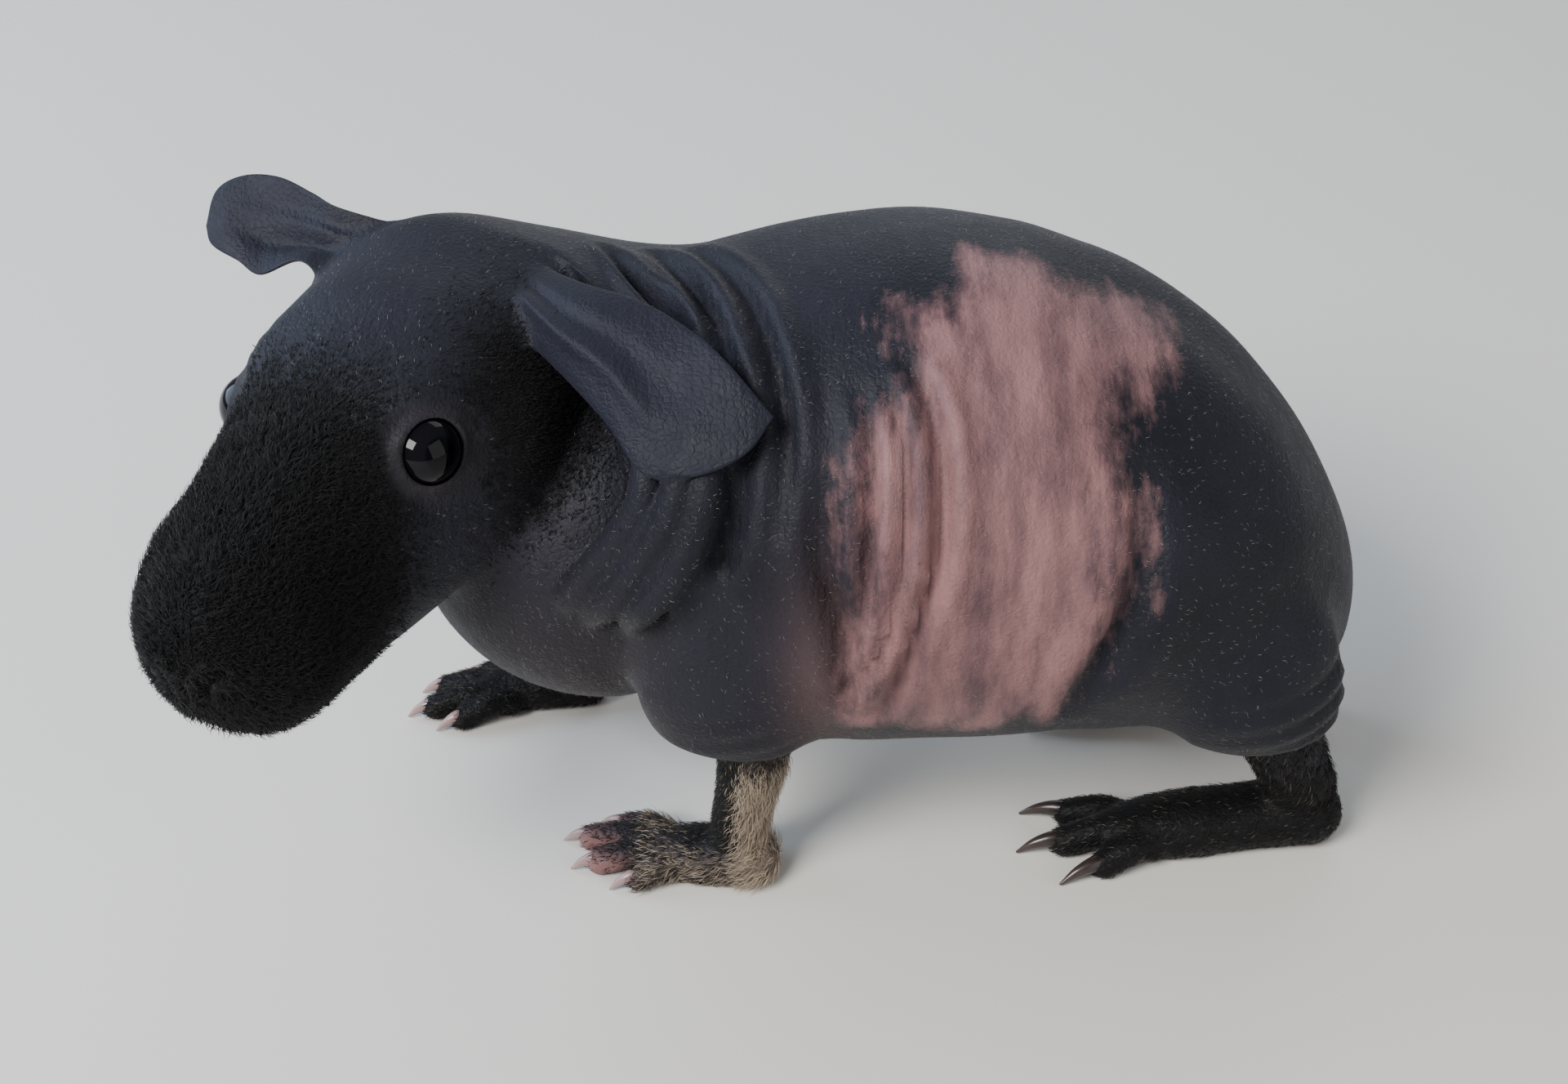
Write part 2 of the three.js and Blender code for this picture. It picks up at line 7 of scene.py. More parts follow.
import bmesh
import bpy
import numpy as np
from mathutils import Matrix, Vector


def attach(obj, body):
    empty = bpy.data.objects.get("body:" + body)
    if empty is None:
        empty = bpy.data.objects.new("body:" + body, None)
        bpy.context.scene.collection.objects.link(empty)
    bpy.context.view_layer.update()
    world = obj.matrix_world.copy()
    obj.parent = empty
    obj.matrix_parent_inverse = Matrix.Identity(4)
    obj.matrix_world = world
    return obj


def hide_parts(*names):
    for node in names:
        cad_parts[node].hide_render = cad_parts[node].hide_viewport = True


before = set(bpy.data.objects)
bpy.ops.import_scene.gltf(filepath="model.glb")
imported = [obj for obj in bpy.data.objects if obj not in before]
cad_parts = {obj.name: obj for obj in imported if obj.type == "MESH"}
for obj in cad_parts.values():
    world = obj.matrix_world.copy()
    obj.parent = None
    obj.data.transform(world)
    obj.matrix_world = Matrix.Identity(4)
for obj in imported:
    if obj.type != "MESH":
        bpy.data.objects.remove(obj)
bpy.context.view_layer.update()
MM = 0.001
rng = np.random.default_rng(7)

# %% [markdown]
# ## Driving sizes
# The sizes are those of the solids, in millimetres. The trunk lies along X, the head is turned to the
# animal's left and rolled a little, and the floor is at zero.

# %% Driving sizes
ORIGIN_SHIFT = np.array([-2.69, 7.22, 0.0])
RUMP_END = 77.5
NECK_BACK = -10.0
NECK_FRONT = -47.0
NOSE_END = -106.5
EYES_ALONG = -70.0
HEAD_AT = np.array([-53.0, -17.0, 68.5])  # between the eyes
HEAD_TURN, HEAD_DIP, HEAD_ROLL = np.radians([63.0, 3.0, 2.5])
EYE_RADIUS = 4.6
EYE_AT = np.array([1.6, 12.4, 3.4])  # towards the nose, to the side and up from between the eyes

# %% [markdown]
# ## A smooth curve through a few sizes
# A body is best described by few numbers: its width and height at some places. A cubic through them, with
# the mean slope at each, gives every size between, and numpy works it out for a whole array at once.

# %% A smooth curve


def curve(pairs):
    """A function of x: between two [place, value] pairs it is the cubic that has the mean slope at each."""
    xs, ys = np.array(pairs, float).T
    left = np.maximum(np.arange(len(xs)) - 1, 0)
    right = np.minimum(np.arange(len(xs)) + 1, len(xs) - 1)
    slopes = (ys[right] - ys[left]) / (xs[right] - xs[left])

    def value(x):
        x = np.clip(np.asarray(x, float), xs[0], xs[-1])
        i = np.clip(np.searchsorted(xs, x, "right") - 1, 0, len(xs) - 2)
        step = xs[i + 1] - xs[i]
        t = (x - xs[i]) / step
        rise = ys[i + 1] - ys[i]
        first, last = slopes[i] * step, slopes[i + 1] * step
        return ys[i] + t * (first + t * (3 * rise - 2 * first - last + t * (first + last - 2 * rise)))

    return value


def bell(x, width):
    """One at x = 0, falling away as exp(-(x / width)^2)."""
    return np.exp(-((x / width) ** 2))


def ease(t):
    """Rises from 0 to 1 with level ends: 3 t^2 - 2 t^3."""
    t = np.clip(t, 0.0, 1.0)
    return t * t * (3 - 2 * t)


def above(value, level, over):
    """Nothing up to a level, and one from a distance over it, with ease between."""
    return ease((value - level) / over)


def below(value, level, over):
    """Nothing down to a level, and one from a distance under it, with ease between."""
    return ease((level - value) / over)


# %% [markdown]
# ## The spine and the head's own axes
# The spine runs straight through the trunk, bends to the left through the neck and runs straight again in
# the head. At each place it has three axes: forward, left and up.

# %% Spine


def axes_at(turn, dip, roll):
    """Forward, left and up for arrays of angles: turned about Z, then dipped, then rolled about forward."""
    turn, dip, roll = (np.atleast_1d(a) for a in (turn, dip, roll))
    zero, one = np.zeros_like(turn), np.ones_like(turn)
    level = np.stack([-np.cos(turn), -np.sin(turn), zero], -1)
    side = np.stack([np.sin(turn), -np.cos(turn), zero], -1)
    sky = np.stack([zero, zero, one], -1)
    forward = level * np.cos(dip)[:, None] - sky * np.sin(dip)[:, None]
    lifted = sky * np.cos(dip)[:, None] + level * np.sin(dip)[:, None]
    left = side * np.cos(roll)[:, None] + lifted * np.sin(roll)[:, None]
    up = lifted * np.cos(roll)[:, None] - side * np.sin(roll)[:, None]
    return forward, left, up


HEAD_AXES = np.array([axis[0] for axis in axes_at(HEAD_TURN, HEAD_DIP, HEAD_ROLL)])


def on_head(points):
    """Places given as (towards the nose, to the left, up) from between the eyes, in the model's frame."""
    return HEAD_AT + np.asarray(points, float) @ HEAD_AXES


def head_view(points):
    """The opposite of on_head: the head's own three numbers of each place."""
    return (points - HEAD_AT) @ HEAD_AXES.T


# %% The body's middle line and reaches, as [place along it, size] in mm
trunk_middle = curve([
    [-10, 51.6], [0, 52.3], [15, 53.4], [30, 53], [40, 51.8], [50, 49.5], [62, 44.5], [78, 36],
])
head_middle = curve([[-107, -8.6], [-98, -9], [-90, -8.6], [-80, -7], [-70, -5.2], [-60, -3.6], [-47, -2.6]])
half_height = curve([
    [-107, 12.6], [-100, 13.8], [-90, 15.8], [-80, 17.6], [-70, 19.2], [-60, 20.2], [-47, 20], [-38, 22],
    [-28, 26], [-18, 29.7], [-10, 32], [0, 33.4], [15, 34.1], [30, 32.7], [40, 30.3], [50, 28.5], [78, 28.5],
])
half_width = curve([
    [-107, 10], [-100, 11], [-90, 12.2], [-80, 14.2], [-70, 17], [-60, 20], [-50, 21.8], [-40, 23.5],
    [-30, 26], [-20, 28.6], [-10, 30.8], [0, 33.2], [15, 35.5], [30, 36], [45, 34.5], [78, 33],
])
NOSE_ROUND, RUMP_ROUND = 12.0, 37.5  # over how far each end is rounded
OVAL_POWER = 2.15  # 2 is an ellipse, and more is squarer


def spine_at(along):
    """Centre and axes: x itself in the trunk, a cubic between trunk and head, and the head's forward axis."""
    along = np.atleast_1d(np.asarray(along, float))
    span = NECK_BACK - NECK_FRONT
    t = np.clip((NECK_BACK - along) / span, 0, 1)
    turned = ease(t)
    start = np.array([NECK_BACK, 0, trunk_middle(NECK_BACK)])
    goal = on_head([EYES_ALONG - NECK_FRONT, 0, float(head_middle(NECK_FRONT))])
    neck = (
        (1 - turned)[:, None] * start
        + turned[:, None] * goal
        + (span * t * (1 - t) ** 2)[:, None] * np.array([-1.0, 0, 0])
        - (span * t**2 * (1 - t))[:, None] * HEAD_AXES[0]
    )
    trunk = np.stack([along, np.zeros_like(along), trunk_middle(along)], -1)
    head = on_head(np.stack([EYES_ALONG - along, np.zeros_like(along), head_middle(along)], -1))
    at = np.where((along >= NECK_BACK)[:, None], trunk, np.where((along <= NECK_FRONT)[:, None], head, neck))
    return at, *axes_at(HEAD_TURN * turned, HEAD_DIP * turned, HEAD_ROLL * turned)


def round_end(along, end, reach):
    """One along the body, and a quarter circle down to nothing over the last reach before the end."""
    t = np.clip(1 - np.abs(end - along) / reach, 0, 1)
    return np.sqrt(np.maximum(0, 1 - t * t))


# %% [markdown]
# ## The body's rings
# Each ring is a squarish oval across the spine. Swellings such as the brow, jowl and whisker pads push it in
# or out. The rings lie closest on the face and in the neck, where the shape changes fastest.

# %% Body surface
HEAD_FORMS_END = NECK_FRONT + 15.0
HEAD_FORMS = [  # where (forward, out to the side, up), how far it stands out, how wide it spreads
    ([1, 13, 10], 2.2, [8, 6, 4.5]),  # brow
    ([-12, 19, -9], 2.0, [10, 9, 9]),  # jowl
    ([27, 9, -13], 1.6, [7, 6, 6]),  # whisker pad
    ([35, 3, -5], 0.8, [5, 5, 4]),  # nose pad
    ([17, 10, -3], -1.0, [7, 6, 6]),  # muzzle side
    ([0, 17, 2], -1.0, [6, 6, 5]),  # eye hollow
    ([24, 0, -24], 0.8, [7, 7, 6]),  # chin
]


def body_points(along, angle):
    """Rings times angles: at each place the oval |a / width|^p + |b / height|^p = 1 across the spine."""
    at, _, left, up = spine_at(along)
    close = round_end(along, NOSE_END, NOSE_ROUND) * round_end(along, RUMP_END, RUMP_ROUND)
    sine, cosine = np.sin(angle)[None, :], np.cos(angle)[None, :]
    aside = (half_width(along) * close)[:, None] * np.sign(sine) * np.abs(sine) ** (2 / OVAL_POWER)
    rise = (half_height(along) * close)[:, None] * np.sign(cosine) * np.abs(cosine) ** (2 / OVAL_POWER)
    ahead = (EYES_ALONG - along)[:, None]
    level = rise + head_middle(along)[:, None]
    out = np.zeros_like(aside)
    for (form_ahead, form_aside, form_level), amount, (long, wide, high) in HEAD_FORMS:
        swelling = amount * bell(ahead - form_ahead, long) * bell(np.abs(aside) - form_aside, wide)
        out += swelling * bell(level - form_level, high)
    out *= (along < HEAD_FORMS_END)[:, None]
    reach = np.maximum(np.hypot(aside, rise), 1e-9)
    aside, rise = aside + out * aside / reach, rise + out * rise / reach
    return at[:, None] + aside[..., None] * left[:, None] + rise[..., None] * up[:, None]


def spaced(knots, counts):
    """Places from knot to knot, each span split evenly into its own count of steps."""
    spans = [np.linspace(a, b, n, endpoint=False) for a, b, n in zip(knots, knots[1:], counts)]
    return np.concatenate([*spans, knots[-1:]])


def end_places(end, start, count):
    """Places from a rounded end inwards, first close together, as 1 - cos of an even angle."""
    return end + (start - end) * (1 - np.cos(np.linspace(0, np.pi / 2, count, endpoint=False)))


NOSE_START, FACE_BACK, RUMP_START = -95.0, -60.0, 42.0
END_RINGS, SPAN_RINGS, RING_POINTS = 34, [74, 26, 66, 46], 228
along = np.concatenate([
    end_places(NOSE_END, NOSE_START, END_RINGS),
    spaced([NOSE_START, FACE_BACK, NECK_FRONT, NECK_BACK, RUMP_START], SPAN_RINGS),
    end_places(RUMP_END, RUMP_START, END_RINGS)[::-1],
])
angle = np.linspace(0, 2 * np.pi, RING_POINTS, endpoint=False)
body = body_points(along, angle)
print("body rings", body.shape)

# %% [markdown]
# ## Folds of loose skin
# A hairless animal that turns its head crowds its neck skin into rolls. A fold is a path on the skin: a
# narrow valley of a bell's shape with a soft roll on each side, fading towards both ends. The paths are
# given as places along the body and degrees round from the top, through the left side.

# %% Paths on the skin
ROLL_BESIDE = 1.9  # from the valley to the roll beside it, in widths
VALLEY_WIDTH = 0.75  # in the same widths


def grid_normals(points):
    """Outward unit normals of a grid of rings: the cross product of its two differences."""
    along_step = np.gradient(points, axis=0)
    around_step = np.roll(points, -1, axis=1) - np.roll(points, 1, axis=1)
    normal = np.cross(around_step, along_step)
    normal /= np.maximum(np.linalg.norm(normal, axis=-1, keepdims=True), 1e-12)
    return normal


def on_body(places):
    """The points of [along, degrees] pairs on the plain body."""
    places = np.array(places, float)
    return np.array([body_points(p[:1], np.radians(p[1:]))[0, 0] for p in places])


def along_path(points, count):
    """A smooth path through points: a cubic curve of each coordinate over the point's number."""
    number = np.linspace(0, len(points) - 1, count)
    return np.stack([curve(list(enumerate(coordinate)))(number) for coordinate in points.T], -1)


def nearest_on_path(points, path):
    """For each point the distance to the path and how far along it the nearest place is, from 0 to 1."""
    flat = points.reshape(-1, 3)
    best = np.full(len(flat), np.inf)
    where = np.zeros(len(flat))
    for i, (start, end) in enumerate(zip(path, path[1:])):
        step = end - start
        share = np.clip(((flat - start) @ step) / (step @ step), 0, 1)
        distance = np.linalg.norm(flat - start - share[:, None] * step, axis=1)
        closer = distance < best
        best[closer] = distance[closer]
        where[closer] = (i + share[closer]) / (len(path) - 1)
    return best.reshape(points.shape[:-1]), where.reshape(points.shape[:-1])


def fold_height(points, path, deep, wide, roll):
    """Minus deep at the path and plus roll beside it, both fading as a sine towards the path's ends."""
    distance, where = nearest_on_path(points, path)
    fade = np.sin(np.pi * np.clip(where * 0.96 + 0.02, 0, 1)) ** 0.6  # the power makes the ends blunter
    beside = roll * bell(distance - ROLL_BESIDE * wide, wide)
    return fade * (beside - deep * bell(distance, wide * VALLEY_WIDTH))


# %% Folds
FLANK_FOLDS = [  # path of [along, degrees], how deep, how wide, how high the rolls beside it, all in mm
    ([[14.6, 33], [16.6, 40], [18.1, 52], [18.4, 70], [16.3, 86], [14, 101], [10.7, 116]], 1.0, 1.3, 0.8),
    ([[12.5, 39], [14, 52], [14, 67], [13.1, 86], [9.8, 101], [7.7, 109]], 0.9, 1.0, 0.6),
    ([[9.5, 40], [10.4, 54], [10.1, 70], [9.8, 86], [8.3, 94]], 0.9, 1.1, 0.7),
    ([[3.9, 60], [4.5, 77], [6, 84], [7.2, 93], [7.5, 105], [6.6, 112]], 1.4, 1.8, 0.6),
    ([[42.7, 50], [42.7, 70], [41.5, 83], [39.1, 95], [36, 110]], 1.2, 2.4, 0.7),
]
NAPE_FOLDS = [
    ([[-21, 353], [-18.9, 366], [-14.7, 375], [-9.7, 385]], 0.9, 1.0, 0.7),
    ([[-15.9, 350], [-11.5, 365], [-8.8, 377], [-6.8, 390], [-5.9, 396]], 0.9, 1.1, 0.8),
    ([[-11.2, 349], [-5.6, 368], [-2.3, 385], [-0.5, 399], [0.1, 413], [-0.8, 429]], 1.0, 1.3, 0.8),
]
NECK_FOLDS = [
    ([[-15.6, 52], [-14.7, 61], [-17.7, 69], [-22, 82]], 1.1, 1.2, 0.6),
    ([[-10.6, 50], [-10.3, 58], [-10.9, 66], [-13.6, 77], [-20, 95], [-26.9, 123]], 1.1, 1.2, 0.6),
    ([[-5.3, 55], [-6.0, 66], [-8.5, 80], [-13.5, 96], [-20, 112]], 0.9, 1.6, 0.6),
]
FAR_SIDE_FOLDS = [
    ([[-30, 250], [-24, 272], [-20, 296], [-19, 318]], 0.6, 1.3, 0.4),
    ([[-17, 246], [-12, 268], [-9, 292], [-9, 312]], 0.6, 1.5, 0.4),
    ([[44, 300], [43, 285], [40.5, 268], [37, 250]], 1.1, 2.4, 0.6),
    ([[12, 322], [14, 306], [13.5, 288], [11, 270]], 0.5, 1.3, 0.4),
]
FOLD_STRENGTH = 1.75  # deeper than the table's numbers, since the coat and the light soften them
PATH_STEPS = 24
FOLDS = [*FLANK_FOLDS, *NAPE_FOLDS, *NECK_FOLDS, *FAR_SIDE_FOLDS]

normals = grid_normals(body)
fold_rise = np.zeros(body.shape[:2])
for places, deep, wide, roll in FOLDS:
    path = along_path(on_body(places), PATH_STEPS)
    fold_rise += FOLD_STRENGTH * fold_height(body, path, deep, wide, roll)
print("folds", len(FOLDS), "from", fold_rise.min().round(2), "to", fold_rise.max().round(2), "mm")

# %% [markdown]
# ## The face: mouth, nostrils and the folds round the eye
# Guinea pigs have a split upper lip and comma-shaped nostrils on a blunt nose. The mouth's line, the split
# and the nostrils are narrow valleys like the folds, and the eye has three rings of fine folds round it. They
# are pushed into the same dense grid, so that the face stays one surface.

# %% Face detail
LIP = [[20, 127], [25, 133], [29.5, 143], [32.4, 160]]  # ahead of the eyes, and degrees round
MOUTH = [*LIP, [33.4, 180], *[[ahead, 360 - degrees] for ahead, degrees in LIP[::-1]]]
PHILTRUM = [[36.4, 0, -10.5], [35.6, 0, -14], [33.4, 0, -17.8]]
NOSTRIL = np.array([[35.4, 2.4, -11.4], [35.9, 3.4, -9.4], [35, 5.6, -8.2]])
MOUTH_FOLD, PHILTRUM_FOLD, NOSTRIL_FOLD = (1.3, 0.75, 0.35), (0.9, 0.6, 0.3), (1.5, 0.85, 0.45)
EYE_FOLDS = [(6.6, 0.45, 0.8), (8.4, 0.35, 0.9), (10.4, 0.25, 1.1)]  # radius, depth and width of each ring
EYE_FOLD_SQUASH = 1.1
EYE_FOLD_AIM = np.radians(120)  # the folds are deepest above and behind the eye


def ring_folds(points, side):
    """Fine folds round an eye: minus a bell of the distance from each ring, weaker in front of the eye."""
    ahead, aside, rise = np.moveaxis(head_view(points), -1, 0)
    ahead, rise = ahead - EYE_AT[0], rise - EYE_AT[2]
    reach = np.hypot(ahead, rise * EYE_FOLD_SQUASH)
    beside = above(side * aside, 6, 6)
    back_above = 0.55 + 0.45 * np.cos(np.arctan2(rise, ahead) - EYE_FOLD_AIM)
    return -beside * back_above * sum(deep * bell(reach - radius, wide) for radius, deep, wide in EYE_FOLDS)


face_rise = ring_folds(body, 1) + ring_folds(body, -1)
mouth_path = along_path(on_body([[EYES_ALONG - ahead, degrees] for ahead, degrees in MOUTH]), 40)
face_rise += fold_height(body, mouth_path, *MOUTH_FOLD)
face_rise += fold_height(body, along_path(on_head(PHILTRUM), 12), *PHILTRUM_FOLD)
for side in (1, -1):
    nostril_path = along_path(on_head(NOSTRIL * [1, side, 1]), 14)
    face_rise += fold_height(body, nostril_path, *NOSTRIL_FOLD)

# %% [markdown]
# ## Slow lumps
# Skin over muscle and fat is never quite smooth. A few slow waves, each in a direction of its own, give the
# flanks and back their soft unevenness.

# %% Slow lumps
WAVE_COUNT = 14
SHORTEST_WAVE, LONGEST_WAVE = 14, 34
LUMP_HEIGHT = 0.9
COAT_DEPTH = 0.35
waves = rng.normal(size=(WAVE_COUNT, 3))
wavelengths = rng.uniform(SHORTEST_WAVE, LONGEST_WAVE, WAVE_COUNT)
waves *= (2 * np.pi / wavelengths / np.linalg.norm(waves, axis=1))[:, None]
phases = rng.uniform(0, 2 * np.pi, WAVE_COUNT)


def slow_lumps(points):
    """The mean of fourteen sines, each of a fixed direction, wavelength and phase."""
    return np.sin(points @ waves.T + phases).mean(-1)


rise = fold_rise + face_rise + LUMP_HEIGHT * slow_lumps(body) - COAT_DEPTH
body = body + normals * rise[..., None]
body[0], body[-1] = body[0].mean(axis=0), body[-1].mean(axis=0)

# %% [markdown]
# ## From rings to a closed mesh
# Every form is a grid of rings. Neighbouring rings are joined by triangles and each end is closed onto one
# point. A signed volume below zero means that the triangles face inwards, and they are then turned over.
# Each point also remembers what it belongs to and its two surface numbers, for markings and for the coat.

# %% Rings to mesh
BODY, SLEEVE, FOOT, EAR, LID = range(5)


def turned_out(points, triangles):
    """The triangles of a closed mesh, turned over where the volume, the sum of a . (b x c), is below zero."""
    a, b, c = (points[triangles[:, k]] for k in range(3))
    return triangles[:, ::-1] if np.einsum("ij,ij->", a, np.cross(b, c)) < 0 else triangles


def loft(rows, kind, start=(0.0, 0.0)):
    """A closed mesh over rings: two triangles for each grid cell and a fan of them onto each end's mean.

    Its two surface numbers run from 0 to 1 along and round the rings, counted on from the start.
    """
    tips = rows[[0, -1]].mean(axis=1)
    first, last = (int(np.ptp(rows[k], axis=0).max() < 1e-6) for k in (0, -1))
    middle = rows[first:len(rows) - last]
    count = rows.shape[1]
    index = np.arange(middle.shape[0] * count).reshape(-1, count)
    after = np.roll(index, -1, axis=1)
    cells = np.stack([index[:-1], index[1:], after[1:], after[:-1]], -1).reshape(-1, 4)
    head_tip, tail_tip = index.size, index.size + 1
    triangles = np.concatenate([
        cells[:, [0, 1, 2]],
        cells[:, [0, 2, 3]],
        np.stack([np.full(count, head_tip), index[0], after[0]], -1),
        np.stack([np.full(count, tail_tip), after[-1], index[-1]], -1),
    ])
    points = np.concatenate([middle.reshape(-1, 3), tips])
    share_u = np.linspace(0, 1, len(rows))[first:len(rows) - last]
    share_v = np.arange(count) / count
    u, v = (grid.ravel() for grid in np.meshgrid(share_u, share_v, indexing="ij"))
    u, v = np.append(u, [0, 1]), np.append(v, [0.5, 0.5])
    info = np.stack([np.full(len(points), kind, float), start[0] + u, start[1] + v], -1)
    return points, turned_out(points, triangles), info


def put_mesh(name, points, faces):
    """A Blender object from arrays in mm: moved by the origin's shift, in metres, with smooth faces."""
    mesh = bpy.data.meshes.new(name)
    mesh.vertices.add(len(points))
    mesh.vertices.foreach_set("co", ((points + ORIGIN_SHIFT) * MM).astype(np.float32).ravel())
    mesh.loops.add(faces.size)
    mesh.loops.foreach_set("vertex_index", faces.astype(np.int32).ravel())
    mesh.polygons.add(len(faces))
    mesh.polygons.foreach_set("loop_start", np.arange(0, faces.size, faces.shape[1], dtype=np.int32))
    mesh.update(calc_edges=True)
    mesh.polygons.foreach_set("use_smooth", np.ones(len(faces), bool))
    piece = bpy.data.objects.new(name, mesh)
    bpy.context.scene.collection.objects.link(piece)
    return piece


def mesh_points(mesh):
    """All of a mesh's points as one array, in metres."""
    points = np.empty(3 * len(mesh.vertices), np.float32)
    mesh.vertices.foreach_get("co", points)
    return points.reshape(-1, 3)


# %% [markdown]
# ## Tubes, balls and hanging sleeves
# Limbs are simple: a shank or a toe is an oval carried along a curved path, the breast is a stretched ball,
# and the loose skin of the upper arm and thigh hangs as a sleeve of level rings.

# %% Tubes


def even_path(points, count):
    """Places at equal steps along a smooth curve through points, and the curve's direction at each."""
    points = np.array(points, float)
    chords = np.linalg.norm(np.diff(points, axis=0), axis=1)
    knots = np.concatenate([[0], np.cumsum(np.sqrt(chords))])
    number = np.linspace(0, knots[-1], 40 * len(points))
    fine = np.stack([curve(np.stack([knots, points[:, k]], -1))(number) for k in range(3)], -1)
    length = np.concatenate([[0], np.cumsum(np.linalg.norm(np.diff(fine, axis=0), axis=1))])
    even = np.linspace(0, length[-1], count)
    at = np.stack([np.interp(even, length, fine[:, k]) for k in range(3)], -1)
    tangent = np.gradient(at, axis=0)
    return at, tangent / np.linalg.norm(tangent, axis=1, keepdims=True)


def tube_rings(points, radii, rings, sides, squash=1.0, floor=-np.inf, caps=7):
    """Rings across a path: r (side sin a + rise squash cos a), and a quarter turn of smaller ones at ends."""
    at, tangent = even_path(points, rings)
    radius = curve(np.stack([np.linspace(0, 1, len(radii)), radii], -1))(np.linspace(0, 1, rings))
    turn = np.linspace(0, np.pi / 2, caps)
    at = np.concatenate([
        at[:1] - tangent[:1] * (radius[0] * np.cos(turn[:-1]))[:, None],
        at,
        at[-1:] + tangent[-1:] * (radius[-1] * np.sin(turn[1:]))[:, None],
    ])
    start, end = np.repeat(tangent[:1], caps - 1, 0), np.repeat(tangent[-1:], caps - 1, 0)
    tangent = np.concatenate([start, tangent, end])
    radius = np.concatenate([radius[0] * np.sin(turn[:-1]), radius, radius[-1] * np.cos(turn[1:])])
    side = np.cross([0, 0, 1.0], tangent)
    side /= np.linalg.norm(side, axis=1, keepdims=True)
    rise = np.cross(tangent, side)
    a = np.linspace(0, 2 * np.pi, sides, endpoint=False)
    ring = side[:, None] * np.sin(a)[:, None] + squash * rise[:, None] * np.cos(a)[:, None]
    rows = at[:, None] + radius[:, None, None] * ring
    rows[..., 2] = np.maximum(rows[..., 2], floor)
    return rows


def ball_rings(at, radii, rings, sides):
    """A stretched ball: rings across X at cos of an even angle, of radius sin of it."""
    turn = np.linspace(0, np.pi, rings)
    a = np.linspace(0, 2 * np.pi, sides, endpoint=False)
    far, wide = -np.cos(turn)[:, None], np.sin(turn)[:, None]
    ball = np.stack(np.broadcast_arrays(far, wide * np.sin(a), wide * np.cos(a)), -1)
    return np.array(at) + ball * np.array(radii)


# %% Sleeves
SLEEVE_FOLDS = (37.5, 33.5, 29.8, 26.6)  # heights of the folds over elbow and knee
SLEEVE_FOLD_DEPTH = 0.085  # as a share of the sleeve's reach
SLEEVE_FOLD_TILT = 2.6
SLEEVE_FOLD_WIDTH = 0.95


def sleeve_rings(levels, side, shift, out, rings=56, sides=72):
    """Level ovals going down, of smoothly changing middle and reaches, less a bell at each fold."""
    levels = np.array(levels, float)
    down = -levels[:, 0]
    turn = (1 - np.cos(np.linspace(0, np.pi, rings))) / 2
    place = down[0] + (down[-1] - down[0]) * turn
    x, y, reach_x, reach_y = (curve(np.stack([down, levels[:, k]], -1))(place)[:, None] for k in range(1, 5))
    a = np.linspace(0, 2 * np.pi, sides, endpoint=False)
    behind = (0.55 + 0.45 * np.cos(a)) ** 2
    height, tilt = -place[:, None], SLEEVE_FOLD_TILT * np.cos(a)
    arcs = sum(bell(height - rise - tilt, SLEEVE_FOLD_WIDTH) for rise in SLEEVE_FOLDS)
    reach_x, reach_y = (reach * (1 - SLEEVE_FOLD_DEPTH * behind * arcs) for reach in (reach_x, reach_y))
    ring_x, ring_y = x + shift + reach_x * np.cos(a), side * (y + out + reach_y * np.sin(a))
    return np.stack(np.broadcast_arrays(ring_x, ring_y, height), -1)


# %% [markdown]
# ## Legs
# The near forefoot stands under the breast and the far one is set well forward, as the animal has just
# stepped. The feet carry four toes in front and three behind, and the soles are flat where they bear.

# %% Leg sizes
UPPER_ARM = [  # height, middle forward, middle out, reach forward and reach out
    [62, -6, 19, 0, 0], [58, -6, 20, 9, 6.5], [50, -6, 22, 13, 9.5], [40, -6, 23, 14, 10],
    [33, -5.5, 23, 13, 9], [28, -5, 22.5, 10, 6.8], [24.5, -4, 22.5, 0, 0],
]
THIGH = [
    [60, 54, 15, 0, 0], [56, 54, 16, 8, 7], [48, 55, 18.5, 13.5, 11], [40, 57, 20, 15, 12],
    [32, 59.5, 20, 13.5, 11], [27, 61, 19.5, 10, 7.5], [23.5, 61.5, 19, 0, 0],
]
FORE = {
    "shank": ([[-3, 21.5, 36], [-4, 21, 24], [-5.5, 20.5, 14], [-6.5, 20, 7.5]], [6, 5.4, 4.2, 3.8]),
    "foot": ([[-5, 20, 3.1], [-11, 19.4, 2.9], [-17.5, 18.6, 2.2]], [4.4, 4.4, 3.8]),
    "toes": [
        ([-15, 15.4, 2.2], [-22.5, 12.4, 1.5], 1.7),
        ([-16, 17.2, 2.2], [-27, 15, 1.6], 1.9),
        ([-16, 19.4, 2.2], [-25.5, 19.8, 1.6], 1.9),
        ([-14, 21.4, 2.2], [-20, 23, 1.6], 1.8),
    ],
    "claw": (4.2, 1.1),
}
HIND = {
    "shank": ([[60, 18, 38], [64, 15.5, 28], [69, 12.6, 17], [72.5, 11.6, 9]], [8, 7, 5.6, 5]),
    "foot": ([[73.5, 11.6, 4], [64, 12.8, 3.6], [54, 14.2, 3.2], [48, 15, 2.6]], [5.4, 5, 5.2, 4.6]),
    "toes": [
        ([50, 12, 2.5], [40.5, 10, 1.8], 2.0),
        ([50, 15, 2.7], [39.5, 16, 1.9], 2.2),
        ([52, 17.6, 2.5], [44.5, 20.6, 1.8], 2.0),
    ],
    "claw": (6.8, 1.25),
}
LEGS = [  # name, sizes, side, (step forward, step out), sleeve, the sleeve's own shift and step out
    ("forefoot_left", FORE, -1, (0, 0), UPPER_ARM, 0, 0),
    ("hindfoot_left", HIND, -1, (0, 0), THIGH, 0, 0),
    ("forefoot_right", FORE, 1, (-26, -1), UPPER_ARM, -23.4, -1),
    ("hindfoot_right", HIND, 1, (3, 2), THIGH, 3, 0),
]
FOOT_SQUASH = 0.85
SHANK_INSET, SHANK_FLOOR = 0.2, 0.4
